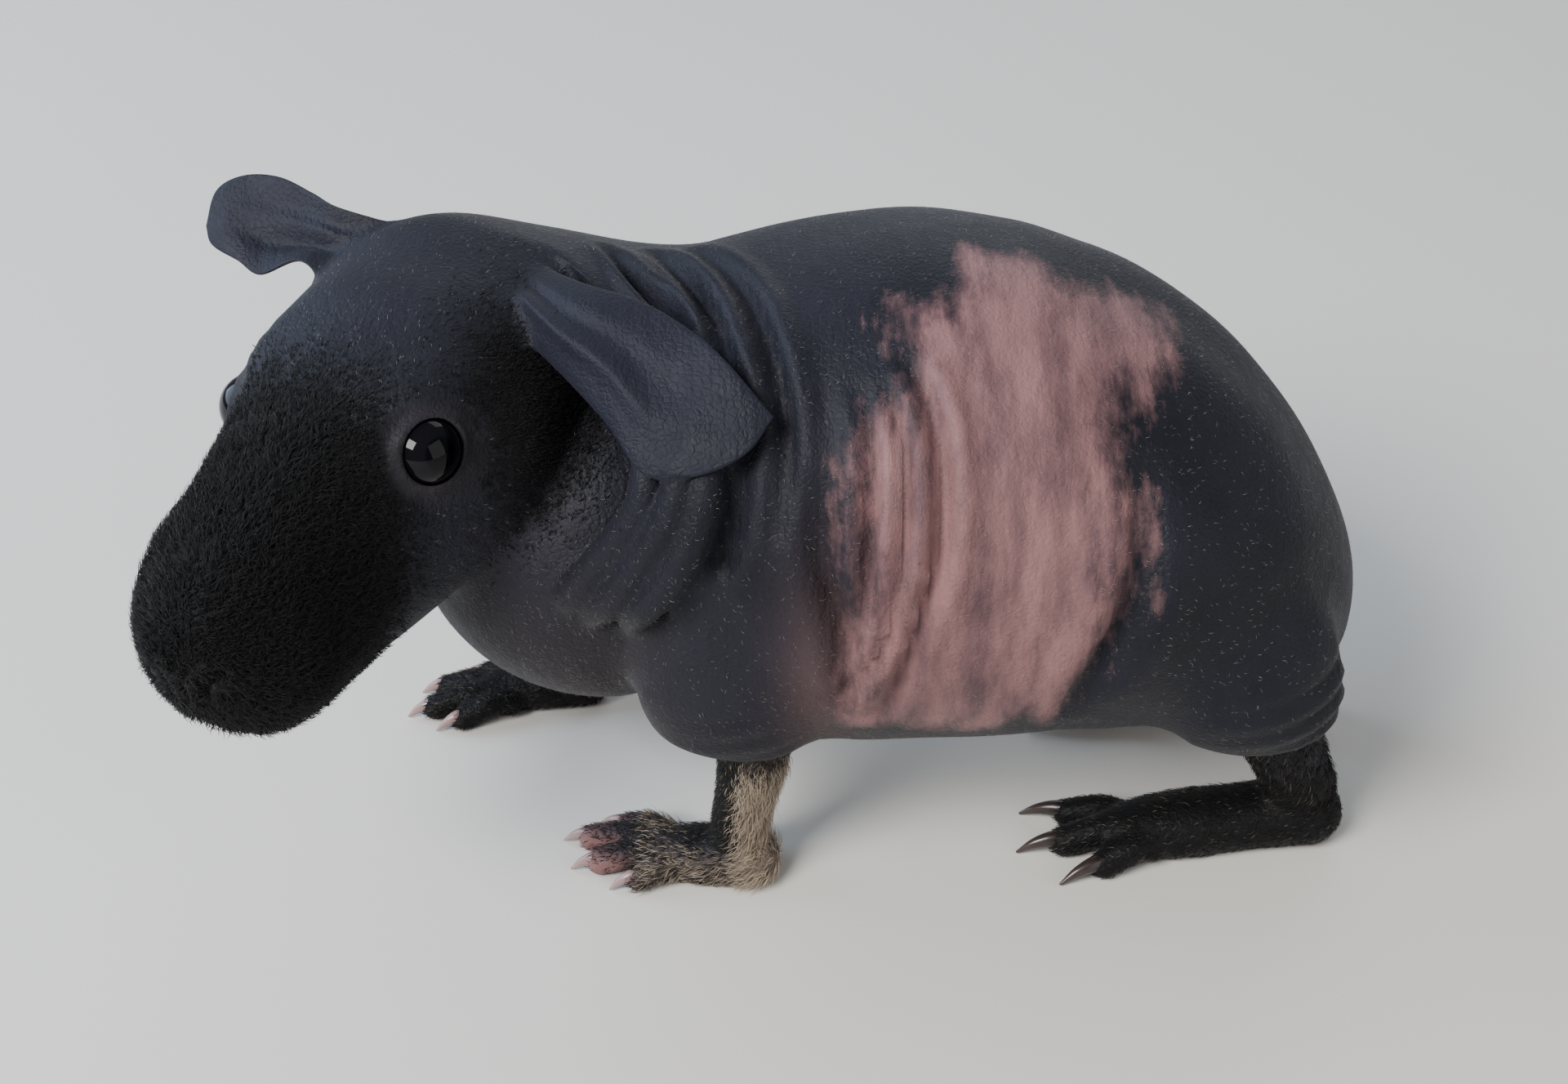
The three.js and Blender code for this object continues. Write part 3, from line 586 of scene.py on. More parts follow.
KNUCKLE_RISE, KNUCKLE_SWELL = 0.7, 1.05
SLEEVE_MELT, SHANK_MELT, FOOT_MELT, TOE_MELT = 5.0, 3.0, 2.2, 0.9  # how wide each seam melts

# %% Legs


def placed(points, side, step):
    """A limb's points on one side: moved by the step, with y turned to that side."""
    points = np.array(points, float)
    return np.stack([points[..., 0] + step[0], side * (points[..., 1] + step[1]), points[..., 2]], -1)


def leg_forms(sizes, side, step, sleeve, shift, out):
    """All the rings of one leg with what they are and how widely their seam melts."""
    shank, shank_radii = sizes["shank"]
    foot, foot_radii = sizes["foot"]
    shank_radii = np.array(shank_radii) - SHANK_INSET
    forms = [
        (sleeve_rings(sleeve, side, shift, out), SLEEVE, SLEEVE_MELT),
        (tube_rings(placed(shank, side, step), shank_radii, 34, 40, floor=SHANK_FLOOR), FOOT, SHANK_MELT),
        (tube_rings(placed(foot, side, step), foot_radii, 36, 36, FOOT_SQUASH, floor=0.0), FOOT, FOOT_MELT),
    ]
    for start, tip, radius in sizes["toes"]:
        knuckle = [(start[0] + tip[0]) / 2, (start[1] + tip[1]) / 2, start[2] + KNUCKLE_RISE]
        path = placed([start, knuckle, tip], side, step)
        radii = [radius, radius * KNUCKLE_SWELL, radius]
        forms.append((tube_rings(path, radii, 18, 22, floor=0.0), FOOT, TOE_MELT))
    return forms


# %% [markdown]
# ## Ears
# Each ear is a thin leaf between a front and a rear edge that share a tip. Across the leaf a sine lifts its
# middle, a ridge follows it just ahead of the middle, and a groove runs behind the ridge.

# %% Ears
EAR_HALF_THICK = 0.55
EAR_LINES = [  # ridge and groove: height, place from front to rear, drift towards the tip, width
    (0.9, 0.42, 0.12, 0.09),
    (-0.7, 0.62, 0.05, 0.1),
]
EAR_MELT = 1.6
EARS = {
    "left": {
        "front": [
            [-19, 10, 8.5], [-15.4, 18.1, 9], [-9.8, 31, 4.9], [-6.7, 37.9, 0.8], [-8.1, 44.3, 1.5],
            [-11.8, 49, 3.6], [-15.9, 50.6, 6.5],
        ],
        "rear": [
            [-30, 7, 12], [-23.1, 20.9, 14.6], [-22.2, 29.8, 14.3], [-20.4, 37.1, 13.2], [-18.1, 43.4, 11.4],
            [-15.9, 50.6, 6.5],
        ],
        "bulge": 2.4,
    },
    "right": {
        "front": [
            [-15, -11, 9], [-18.4, -18.7, 12.1], [-17.3, -25.4, 9.4], [-18, -29.2, 10.3], [-19, -34.1, 11.2],
            [-20.6, -36, 12.8],
        ],
        "rear": [
            [-28, -6, 14], [-25.8, -17, 16.4], [-26.7, -21.7, 17.2], [-27.3, -27.5, 18.3], [-26.6, -33, 17.9],
            [-24.5, -36.3, 16.2], [-20.6, -36, 12.8],
        ],
        "bulge": -2.0,
    },
}


def ear_rings(front, rear, bulge, rings=64, sides=96):
    """Flattened ovals from the front edge to the rear one, lifted by sin(pi v) sin(pi t) and two lines."""
    t = np.sin(np.pi / 2 * np.linspace(0, 1, rings))
    fine = 400
    pick = np.round(t * (fine - 1)).astype(int)
    (a, tangent_a), (b, tangent_b) = (even_path(on_head(edge), fine) for edge in (front, rear))
    a, b, tangent = a[pick], b[pick], (tangent_a + tangent_b)[pick]
    across = b - a
    out = np.cross(across, tangent)
    out /= np.maximum(np.linalg.norm(out, axis=1, keepdims=True), 1e-9)
    out[-1] = out[-2]
    out *= np.sign(out @ HEAD_AXES[2])[:, None]
    turn = np.linspace(0, 2 * np.pi, sides, endpoint=False)
    cosine, sine = np.cos(turn), np.sin(turn)
    v = 0.5 + 0.5 * np.sign(cosine) * np.abs(cosine) ** 0.7
    length = np.sin(np.pi * np.minimum(1, t + 0.2))[:, None]
    lift = bulge * np.sin(np.pi * v) * length
    for height, middle, drift, width in EAR_LINES:
        lift = lift + height * np.sign(bulge) * bell(v - middle + drift * t[:, None], width) * length
    thick = EAR_HALF_THICK * np.sign(sine) * np.abs(sine) ** 0.5 * round_end(t, 1, 0.2)[:, None]
    offset = (lift + thick)[..., None] * out[:, None]
    return a[:, None] + across[:, None] * v[:, None] + offset


# %% [markdown]
# ## Breast, neck rolls and lids
# The breast hangs between the forelegs. Three rolls of skin are crowded into the bend of the neck. The lids
# are a soft bare rim round each eye.

# %% Breast and neck rolls
BREAST_AT, BREAST_RADII = [-24, 1, 46.5], [26.2, 25.7, 24.7]
NECK_ROLLS = [  # path from nape to throat, and radius
    (
        [
            [-16, -20, 76], [-16.2, -26, 69], [-17.3, -26.8, 65], [-21, -26, 59], [-26.8, -23.2, 50],
            [-33, -11, 41],
        ],
        2.5,
    ),
    (
        [
            [-12, -20, 78], [-12.2, -27.4, 71], [-13.2, -29, 66.5], [-16, -29, 61], [-22, -26.6, 51],
            [-28, -14, 40],
        ],
        2.4,
    ),
    (
        [
            [-9, -21, 78], [-9.2, -28, 71], [-10.1, -30, 66], [-12.6, -31, 60], [-17.4, -29.6, 52],
            [-21, -20, 43],
        ],
        2.2,
    ),
]
BREAST_MELT, ROLL_MELT = 5.0, 0.6


def roll_rings(path, radius):
    """A neck roll: a tube whose radius swells as a sine towards its middle."""
    share = (np.arange(len(path)) + 0.7) / len(path)
    return tube_rings(path, radius * (0.5 + 0.5 * np.sin(np.pi * share)), 70, 26)


# %% Lids
LID_REACH, LID_RADIUS, LID_OUT = 4.4, 0.8, 1.75
LID_WIDE, LID_HIGH = 1.03, 0.97
LID_MELT = 0.8
LID_UNWRAP = 7.0  # just over a full turn, so that the ring fills one cell of the unwrap
SIGHT = np.array([0.33, 0.90, 0.28]) / np.linalg.norm([0.33, 0.90, 0.28])  # the way the left eye looks


def lid_mesh(side, turns=72, sides=14):
    """A ring round the eye: (reach + r cos b) round it and r sin b outwards, a little wider than high."""
    shares = (np.arange(turns) / turns, np.arange(sides) / sides)
    a, b = np.meshgrid(*(share * 2 * np.pi for share in shares), indexing="ij")
    sight = SIGHT * [1, side, 1]
    ahead = np.cross(sight, [0, 0, side])
    ahead /= np.linalg.norm(ahead)
    rise = np.cross(ahead, sight) * side
    reach = LID_REACH + LID_RADIUS * np.cos(b)
    wide, high = LID_WIDE * reach * np.cos(a), LID_HIGH * reach * np.sin(a)
    out = LID_OUT + LID_RADIUS * np.sin(b)
    places = wide[..., None] * ahead + high[..., None] * rise + out[..., None] * sight
    points = on_head(places + EYE_AT * [1, side, 1]).reshape(-1, 3)
    here = np.arange(turns * sides).reshape(turns, sides)
    onward = np.roll(here, -1, axis=0)
    cells = np.stack([here, onward, np.roll(onward, -1, axis=1), np.roll(here, -1, axis=1)], -1)
    cells = cells.reshape(-1, 4)
    triangles = turned_out(points, np.concatenate([cells[:, [0, 1, 2]], cells[:, [0, 2, 3]]]))
    info = np.stack([np.full(len(points), LID, float), a.ravel() / LID_UNWRAP, b.ravel() / LID_UNWRAP], -1)
    return points, triangles, info


# %% [markdown]
# ## One skin
# The forms overlap, so a Boolean union makes them one closed surface. The points that the union adds lie on
# the seams. Each is kept with the width over which its seam will be melted.

# %% Joining the skin


def same_points(points, known):
    """For each point the number of the known point at exactly the same place, or -1."""
    key, known_key = (np.ascontiguousarray(p, np.float32).view("V12").ravel() for p in (points, known))
    order = np.argsort(known_key)
    at = np.clip(np.searchsorted(known_key[order], key), 0, len(order) - 1)
    found = known_key[order][at] == key
    return np.where(found, order[at], -1)


def combine(whole, info, form, melt, operation="UNION"):
    """The Boolean of two solids, and for each new point what it is and how widely its seam melts."""
    points, triangles, form_info = form
    piece = put_mesh("form", points, triangles)
    modifier = whole.modifiers.new("join", "BOOLEAN")
    modifier.operation, modifier.solver, modifier.object = operation, "MANIFOLD", piece
    before = mesh_points(whole.data)
    made = bpy.data.meshes.new_from_object(whole.evaluated_get(bpy.context.evaluated_depsgraph_get()))
    whole.modifiers.clear()
    after = mesh_points(made)
    old, new = same_points(after, before), same_points(after, mesh_points(piece.data))
    form_info = np.column_stack([form_info, np.zeros(len(form_info))])
    joined = np.where((old >= 0)[:, None], info[old], form_info[new])
    seam = (old < 0) & (new < 0)
    joined[seam] = [np.nan, np.nan, np.nan, melt]
    whole.data = made
    bpy.data.objects.remove(piece)
    return joined


# %% The union
points, triangles, info = loft(body, BODY)
skin = put_mesh("skin", points, triangles)
info = np.column_stack([info, np.zeros(len(info))])
forms = [(loft(ball_rings(BREAST_AT, BREAST_RADII, 56, 80), BODY), BREAST_MELT)]
forms += [(loft(roll_rings(path, radius), BODY), ROLL_MELT) for path, radius in NECK_ROLLS]
for leg, (_, sizes, side, step, sleeve, shift, out) in enumerate(LEGS):
    for number, (rings, kind, melt) in enumerate(leg_forms(sizes, side, step, sleeve, shift, out)):
        forms.append((loft(rings, kind, (leg, number)), melt))
forms += [(loft(ear_rings(**sizes), EAR, (k, 0)), EAR_MELT) for k, sizes in enumerate(EARS.values())]
forms += [(lid_mesh(side), LID_MELT) for side in (1, -1)]
for form, melt in forms:
    info = combine(skin, info, form, melt)

# %% Eye sockets
EYE_CLEAR = 0.15
for side in (1, -1):
    at = on_head(EYE_AT * [1, side, 1])
    socket = loft(ball_rings(at, [EYE_RADIUS + EYE_CLEAR] * 3, 48, 64), LID)
    info = combine(skin, info, socket, 0.0, "DIFFERENCE")
triangulated = bmesh.new()
triangulated.from_mesh(skin.data)
bmesh.ops.triangulate(triangulated, faces=triangulated.faces[:])
triangulated.to_mesh(skin.data)
triangulated.free()
print("skin", len(skin.data.vertices), "points,", len(skin.data.polygons), "faces")

# %% [markdown]
# ## Melting the seams
# On a living animal a leg flows out of the body and an ear out of the head. Each point near a seam is
# moved towards the mean of its neighbours, many times over. How far it moves falls to nothing at the seam's
# width, so that the rest of the skin keeps its folds.

# %% Melted seams
MELT_STEPS = 36
MELT_PULL = 0.6
FILL_STEPS = 40
BLOCK_PAIRS = 20_000_000  # pairs of points whose distances are held at once


def mesh_edges(mesh):
    """All edges of a mesh as pairs of point numbers."""
    edges = np.empty(2 * len(mesh.edges), np.int32)
    mesh.edges.foreach_get("vertices", edges)
    return edges.reshape(-1, 2)


def neighbour_mean(values, edges, count):
    """For each point the mean of its neighbours' values: sums over the edges, both ways, by bincount."""
    ends = np.concatenate([edges[:, 0], edges[:, 1]])
    others = np.concatenate([edges[:, 1], edges[:, 0]])
    total = np.stack([np.bincount(ends, values[others, k], count) for k in range(values.shape[1])], -1)
    return total / np.maximum(np.bincount(ends, minlength=count), 1)[:, None]


def nearest_distance(points, targets, reach):
    """Distance to the nearest target, worked out in blocks, and only near the targets' box."""
    best = np.full(len(points), 1e9)
    inside = np.all((points > targets.min(0) - reach) & (points < targets.max(0) + reach), axis=1)
    near = np.flatnonzero(inside)
    squares = (targets**2).sum(1)
    for block in np.array_split(near, max(1, len(near) * len(targets) // BLOCK_PAIRS)):
        if len(block):
            gap = (points[block] ** 2).sum(1)[:, None] + squares - 2 * points[block] @ targets.T
            best[block] = np.sqrt(np.maximum(gap.min(1), 0))
    return best


# %% The melting
skin_mesh = skin.data
flesh = mesh_points(skin_mesh).astype(float) / MM - ORIGIN_SHIFT
edges = mesh_edges(skin_mesh)
melt_share = np.zeros(len(flesh))
for melt in np.unique(info[:, 3]):
    if melt > 0:
        seam_points = flesh[info[:, 3] == melt]
        distance = nearest_distance(flesh, seam_points, melt)
        melt_share = np.maximum(melt_share, np.clip(1 - distance / melt, 0, 1))
for _ in range(MELT_STEPS):
    flesh += MELT_PULL * melt_share[:, None] * (neighbour_mean(flesh, edges, len(flesh)) - flesh)
flesh[:, 2] = np.maximum(flesh[:, 2], 0.0)
skin_mesh.vertices.foreach_set("co", ((flesh + ORIGIN_SHIFT) * MM).astype(np.float32).ravel())
skin_mesh.update()
skin_mesh.polygons.foreach_set("use_smooth", np.ones(len(skin_mesh.polygons), bool))
print("points near a seam", int((melt_share > 0).sum()))

# %% Filling in what the seam points belong to, from their neighbours
both_ways = np.concatenate([edges, edges[:, ::-1]])
for _ in range(FILL_STEPS):
    known = ~np.isnan(info[:, 0])
    ends, others = both_ways[known[both_ways[:, 1]] & ~known[both_ways[:, 0]]].T
    info[ends, :3] = info[others, :3]
info = np.nan_to_num(info)
kind = info[:, 0]
print("points of each kind", np.bincount(kind.astype(int)).tolist())

# %% [markdown]
# ## Markings as numbers on each point
# The same functions of a place say where the animal is pink, black, warm brown or pale, and the black
# before the ear also holds painted shade under the ear flap. They are worked out for the points of the
# skin, and later for each tuft's root, so that coat and skin agree. The pink patch is an outline on the
# unrolled flank, and its number is the distance in mm inside that outline.

# %% Markings
PATCH = np.array([  # its outline: mm along the trunk, and degrees round from the top, through the left side
    [23.4, 2], [29.6, -2], [33.2, -1], [33.5, 8], [38.8, 0], [44.2, -6], [47.7, -3], [50.1, 1], [48.3, 23],
    [43, 34], [39.4, 43], [39.4, 55], [42.7, 70], [40.9, 83], [38.2, 95], [37, 105], [33.2, 117], [24.9, 123],
    [14.6, 122], [6.9, 121], [7.2, 99], [7.7, 86], [7.5, 75], [7.7, 63], [8.6, 51], [10.7, 45], [13.7, 43],
    [14.9, 36], [13.4, 31], [13.4, 23], [18.1, 21], [21.1, 16],
])
FLANK_RADIUS = 34.0
OFF_PATCH = -20.0  # the patch's number far from it, in mm
TRUNK_START = -8.0  # the patch lies behind this
REAR_FEET = 35.0  # feet that stand further back than this are the hind ones
FORE_FEET = 10.0  # and those further forward than this the fore ones
MUZZLE_START, MUZZLE_SLANT, MUZZLE_LEVEL, MUZZLE_FADE = 3.0, 0.35, 4.0, 21.0
# The cheek spot is black fuzz, and it is also painted shade under the ear flap.
CHEEK_VELVET_AND_SHADE = ([-13, 17, 1], [10, 9, 13])  # middle and spread, ahead, aside and up from between the eyes
JOWL_VELVET = ([-9, 15, -10], [13, 9, 6])
WARM_CHEST = ([-26, -10, 36], [16, 22, 18])
PINK_ELBOW = ([5, -28, 44], [5, 12, 14])
LID_RING, LID_RING_WIDTH = 4.6, 1.5


def unrolled(points):
    """The trunk unrolled: x along it, and the arc from its top, measured at the flank's mean radius."""
    turn = np.arctan2(-points[:, 1], points[:, 2] - trunk_middle(points[:, 0]))
    turn = np.where(turn < -np.pi / 2, turn + 2 * np.pi, turn)
    return np.stack([points[:, 0], turn * FLANK_RADIUS], -1)


def inside_distance(flat, outline):
    """Distance to a closed outline of straight sides, positive inside it and negative outside."""
    following = np.roll(outline, -1, axis=0)
    distance = np.full(len(flat), np.inf)
    inside = np.zeros(len(flat), bool)
    for (ax, ay), (bx, by) in zip(outline, following):
        side = np.array([bx - ax, by - ay])
        offset = flat - [ax, ay]
        share = np.clip(offset @ side / (side @ side), 0, 1)
        distance = np.minimum(distance, np.linalg.norm(offset - share[:, None] * side, axis=1))
        crosses = (ay > flat[:, 1]) != (by > flat[:, 1])
        inside ^= crosses & (flat[:, 0] < ax + (flat[:, 1] - ay) * (bx - ax) / (by - ay + 1e-12))
    return np.where(inside, distance, -distance)


def spot(points, at, spread):
    """A soft round spot: a product of three bells of the distance from its middle."""
    return np.prod(bell(points - np.array(at, float), np.array(spread, float)), axis=1)


def black_marks(points, head, limb, near_fore, on_face):
    """The greatest of the black forms: muzzle, the black fuzz before the ear with painted shade under its
    flap, and three of the feet.
    """
    x, y, z = points.T
    slant = MUZZLE_SLANT * (head[:, 2] - MUZZLE_LEVEL)
    muzzle = on_face * above(head[:, 0] + MUZZLE_START + slant, 0, MUZZLE_FADE)
    # Black fuzz before the ear, and painted shade under the ear flap.
    velvet_and_shade = on_face * (spot(head, *CHEEK_VELVET_AND_SHADE) + 0.15 * spot(head, *JOWL_VELVET))
    hind_foot = limb & (x > REAR_FEET) & (z < 14)
    far_fore = limb & (y > 0) & (x < FORE_FEET) & (z < 16)
    near_front = near_fore * below(x, -4.5, 3) * above(z, 4.5, 3)
    feet = [0.9 * hind_foot, 0.85 * far_fore, 0.8 * near_front]
    return np.clip(np.maximum.reduce([muzzle, velvet_and_shade, *feet]), 0, 1)


def markings(points, kind):
    """The mark numbers of each place, from 0 to 1, and the patch's distance in mm."""
    x, y, z = points.T
    head = head_view(points)
    ahead, aside, rise = head.T
    limb, on_ear = kind == FOOT, kind == EAR
    near_fore = limb & (y < 0) & (x < FORE_FEET)
    on_face = (kind == BODY) | (kind == LID)
    outline = PATCH * [1, np.radians(FLANK_RADIUS)]  # degrees to mm of arc
    patch = np.where((x > TRUNK_START) & ~on_ear, inside_distance(unrolled(points), outline), OFF_PATCH)
    toes = near_fore * below(z, 5, 3) * below(x, -19, 5)
    cream_wrist = near_fore * above(x, -8.5, 4) * below(z, 27, 8)
    cream_sole = 0.42 * near_fore * below(z, 7, 3) * above(x, -22, 4)
    belly = (kind == BODY) * (x > -30) * below(z, 34, 10)
    elbow = spot(points, *PINK_ELBOW) * ~on_ear
    lid = bell(np.hypot(ahead - EYE_AT[0], rise - EYE_AT[2]) - LID_RING, LID_RING_WIDTH)
    lid = np.clip(lid * above(np.abs(aside), 9, 4), 0, 1)
    return {
        "patch": patch,
        "black": black_marks(points, head, limb, near_fore, on_face),
        "warm": np.clip(belly + 0.6 * spot(points, *WARM_CHEST), 0, 1),
        "ear": on_ear * above(np.abs(aside), 16, 8),
        "pink": np.clip(toes + 0.35 * elbow, 0, 1),
        "cream": np.maximum(cream_wrist, cream_sole),
        "lid": lid * on_face,
    }


def give(mesh, numbers):
    """Each array of numbers becomes a float attribute of the mesh's points."""
    for name, values in numbers.items():
        mesh.attributes.new(name, "FLOAT", "POINT").data.foreach_set("value", np.asarray(values, np.float32))


# %% The skin's marks
marks = markings(flesh, kind)
give(skin_mesh, marks)
print("share of the skin that is pink patch", round(float((marks["patch"] > 0).mean()), 3))

# %% [markdown]
# ## Node trees in few words
# A procedural material is a small tree of nodes. Helpers keep each tree short: one adds a node and wires
# its sockets, three do sums, two blend colours, and the others read a mark or make a ramp or noise.

# %% Node helpers


def put(tree, kind, inputs=None, **settings):
    """A new node with its settings, its sockets set to values or wired to other nodes' outputs."""
    made = tree.nodes.new(kind)
    for key, value in settings.items():
        setattr(made, key, value)
    for key, value in (inputs or {}).items():
        if isinstance(value, bpy.types.NodeSocket):
            tree.links.new(value, made.inputs[key])
        else:
            made.inputs[key].default_value = value
    return made


def sums(tree, operation, a, b):
    """The output of one Math node."""
    return put(tree, "ShaderNodeMath", {0: a, 1: b}, operation=operation).outputs[0]


def times(tree, a, b):
    """The product of two numbers."""
    return sums(tree, "MULTIPLY", a, b)


def plus(tree, a, b):
    """The sum of two numbers."""
    return sums(tree, "ADD", a, b)


def swing(tree, value, amount):
    """Noise round one half, made to swing round zero: (value - 0.5) amount."""
    return times(tree, sums(tree, "SUBTRACT", value, 0.5), amount)


def blend(tree, share, a, b):
    """Colour a where share is 0 and colour b where it is 1."""
    made = tree.nodes.new("ShaderNodeMix")
    made.data_type = "RGBA"
    for number, value in ((0, share), (6, a), (7, b)):
        if isinstance(value, bpy.types.NodeSocket):
            tree.links.new(value, made.inputs[number])
        else:
            made.inputs[number].default_value = (*value, 1)
    return made.outputs[2]


def mark(tree, name):
    """The output of one of the mesh's own mark numbers."""
    return put(tree, "ShaderNodeAttribute", attribute_name=name).outputs["Fac"]


def ramp(tree, value, low, high):
    """Zero below low, one above high and a straight line between, or the other way round if low > high."""
    return put(tree, "ShaderNodeMapRange", {"Value": value, "From Min": low, "From Max": high}).outputs[0]


def tint(tree, base, name, share, colour):
    """A colour laid over the base where a mark says so, at most by a share."""
    return blend(tree, times(tree, mark(tree, name), share), base, colour)


def noise(tree, place, scale, detail=4.0, roughness=0.55):
    """Cloudy noise of a scale given in waves per metre."""
    inputs = {"Vector": place, "Scale": scale, "Detail": detail, "Roughness": roughness}
    return put(tree, "ShaderNodeTexNoise", inputs).outputs["Fac"]


def squeezed(tree, place, across):
    """Places squeezed across the body, so that a pattern read there is drawn out upright and sideways."""
    return put(tree, "ShaderNodeMapping", {"Vector": place, "Scale": (1.0, across, across)}).outputs[0]


def bumped(tree, shader, height, strength, distance):
    """Bump from a height, with its strength and the distance in metres that a height of 1 stands for."""
    bump = put(tree, "ShaderNodeBump", {"Height": height, "Strength": strength, "Distance": distance})
    tree.links.new(bump.outputs[0], shader.inputs["Normal"])


def new_finish(name, **sockets):
    """A material with one Principled shader whose own sockets hold the constants, and its tree."""
    material = bpy.data.materials.new(name)
    material.use_nodes = True
    tree = material.node_tree
    shader = tree.nodes["Principled BSDF"]
    for key, value in sockets.items():
        shader.inputs[key.replace("_", " ")].default_value = value
    return material, tree, shader


# %% [markdown]
# ## The skin's finish
# Bare slate skin with a bluish bloom: fine leathery cells, small follicle bumps and short wrinkles across
# the body's length, all as bump. Pink shows where the skin has no pigment, with a mottled, soft edge. A
# little light scatters in it, most where it is pink.

# %% Skin finish
SLATE_DEEP = (0.0036, 0.0038, 0.0066)
SLATE_PALE = (0.0115, 0.0118, 0.0190)
PINK = (0.215, 0.112, 0.112)
PINK_DEEP = (0.078, 0.043, 0.048)
BLACK_SKIN_AND_SHADE = (0.0022, 0.0022, 0.0028)
WARM = (0.026, 0.0165, 0.0145)
EAR_SLATE = (0.0085, 0.0092, 0.0170)
LID_PALE = (0.026, 0.022, 0.027)
CREAM = (0.20, 0.15, 0.12)
TOE_PINK = (0.20, 0.105, 0.10)

skin_finish, tree, shader = new_finish(
    "skin_finish", Roughness=0.5, Subsurface_Weight=0.12, Subsurface_Scale=0.0012,
    Sheen_Weight=0.035, Sheen_Roughness=0.4, Specular_IOR_Level=0.18,
)
shader.inputs["Subsurface Radius"].default_value = (1.0, 0.45, 0.35)
place = put(tree, "ShaderNodeTexCoord").outputs["Object"]
cloud = noise(tree, place, 45, 5)
mottle = noise(tree, place, 320, 5, 0.65)
base = blend(tree, ramp(tree, cloud, 0.3, 0.72), SLATE_DEEP, SLATE_PALE)
base = blend(tree, times(tree, ramp(tree, mottle, 0.35, 0.75), 0.45), base, SLATE_PALE)
base = tint(tree, base, "ear", 0.7, EAR_SLATE)
base = tint(tree, base, "warm", 0.8, WARM)

# %% The pink patch, with an edge that wanders by several mm
streaks = noise(tree, squeezed(tree, place, 0.3), 210, 6, 0.62)
edge = plus(tree, plus(tree, mark(tree, "patch"), swing(tree, streaks, 17.0)), swing(tree, mottle, 7.0))
pink = blend(tree, ramp(tree, streaks, 0.34, 0.62), PINK_DEEP, PINK)
base = blend(tree, ramp(tree, edge, -2.2, 3.8), base, pink)
base = tint(tree, base, "pink", 0.9, TOE_PINK)
base = tint(tree, base, "cream", 0.6, CREAM)
base = tint(tree, base, "lid", 0.7, LID_PALE)
# Black skin under the fuzz, and painted shade under the ear flap.
roughened = plus(tree, mark(tree, "black"), swing(tree, mottle, 0.8))
base = blend(tree, ramp(tree, roughened, 0.25, 0.75), base, BLACK_SKIN_AND_SHADE)
tree.links.new(base, shader.inputs["Base Color"])
tree.links.new(plus(tree, times(tree, mottle, 0.3), 0.44), shader.inputs["Roughness"])

# %% Skin bump
wrinkles = noise(tree, squeezed(tree, place, 0.28), 620, 4, 0.6)
cells = put(tree, "ShaderNodeTexVoronoi", {"Vector": place, "Scale": 1250.0}, feature="DISTANCE_TO_EDGE")
leather = ramp(tree, cells.outputs["Distance"], 0.0, 0.22)
pores = put(tree, "ShaderNodeTexVoronoi", {"Vector": place, "Scale": 620.0}).outputs["Distance"]
goose = ramp(tree, pores, 0.32, 0.05)
fine = noise(tree, place, 1500, 3)
height = times(tree, wrinkles, 0.9)
for part, share in ((leather, 0.16), (goose, 0.22), (fine, 0.25)):
    height = plus(tree, height, times(tree, part, share))
bumped(tree, shader, height, 0.75, 0.00035)
skin_mesh.materials.clear()
skin_mesh.materials.append(skin_finish)

# %% [markdown]
# ## Eyes
# A guinea pig's eye is a dark ball with hardly any white to see. The cornea stands out a little over the
# pupil. It is a grid of rings about the line of sight, so that pupil and iris are rings too.

# %% Eyes
CORNEA_RISE, CORNEA_WIDTH = 0.16, 0.75
EYE_INSET = 0.12  # the ball is this much smaller than the solid, so that the lids bear on it
PUPIL_BLACK, IRIS_DARK, IRIS_RIM = (0.0006, 0.0008, 0.0016), (0.0035, 0.003, 0.0045), (0.002, 0.002, 0.0035)


def eye_rings(at, sight, rings=72, sides=72):
    """Rings about the sight line at angle a: a ball, standing out by a bell of a over the pupil."""
    sight = sight / np.linalg.norm(sight)
    side = np.cross(sight, [0, 0, 1.0])
    side /= np.linalg.norm(side)
    rise = np.cross(side, sight)
    a = np.linspace(0, np.pi, rings)
    turn = np.linspace(0, 2 * np.pi, sides, endpoint=False)
    reach = EYE_RADIUS - EYE_INSET + CORNEA_RISE * bell(a, CORNEA_WIDTH)
    ring = side * np.cos(turn)[:, None] + rise * np.sin(turn)[:, None]
    wide, far = reach * np.sin(a), reach * np.cos(a)
    return at + far[:, None, None] * sight + wide[:, None, None] * ring


# %% Eyeballs and their finish
eye_finish, tree, shader = new_finish("eye_finish", Roughness=0.035, Specular_IOR_Level=0.16)
from_middle = mark(tree, "from_pupil")
iris = blend(tree, ramp(tree, from_middle, 0.42, 0.5), PUPIL_BLACK, IRIS_DARK)
iris = blend(tree, ramp(tree, from_middle, 0.8, 1.0), iris, IRIS_RIM)
tree.links.new(iris, shader.inputs["Base Color"])
eyes = {}
for name, side in (("left", 1), ("right", -1)):
    at = on_head(EYE_AT * [1, side, 1])
    points, triangles, ball_info = loft(eye_rings(at, (SIGHT * [1, side, 1]) @ HEAD_AXES), LID)
    eyes[name] = put_mesh(f"eyeball_{name}", points, triangles)
    give(eyes[name].data, {"from_pupil": ball_info[:, 1] * np.pi})
    eyes[name].data.materials.append(eye_finish)
print("eyes", [len(eye.data.polygons) for eye in eyes.values()])

# %% [markdown]
# ## Claws
# Each claw grows out of its toe, arches and ends in a point just above the floor. Those in front are short
# and pinkish, those behind long, curved and almost black, browner where they are thin.

# %% Claws
CLAW_SINK = 1.6
CLAW_REACH = (0.2, 0.62, 0.985)  # of its length, from the toe's tip
CLAW_ARCH = (0.1, 0.55, -0.05)  # over the toe's middle at the root and at the first two of these
CLAW_TIP_HEIGHT = 0.42
CLAW_TAPER = np.array([0.92, 0.9, 0.6, 0.16])


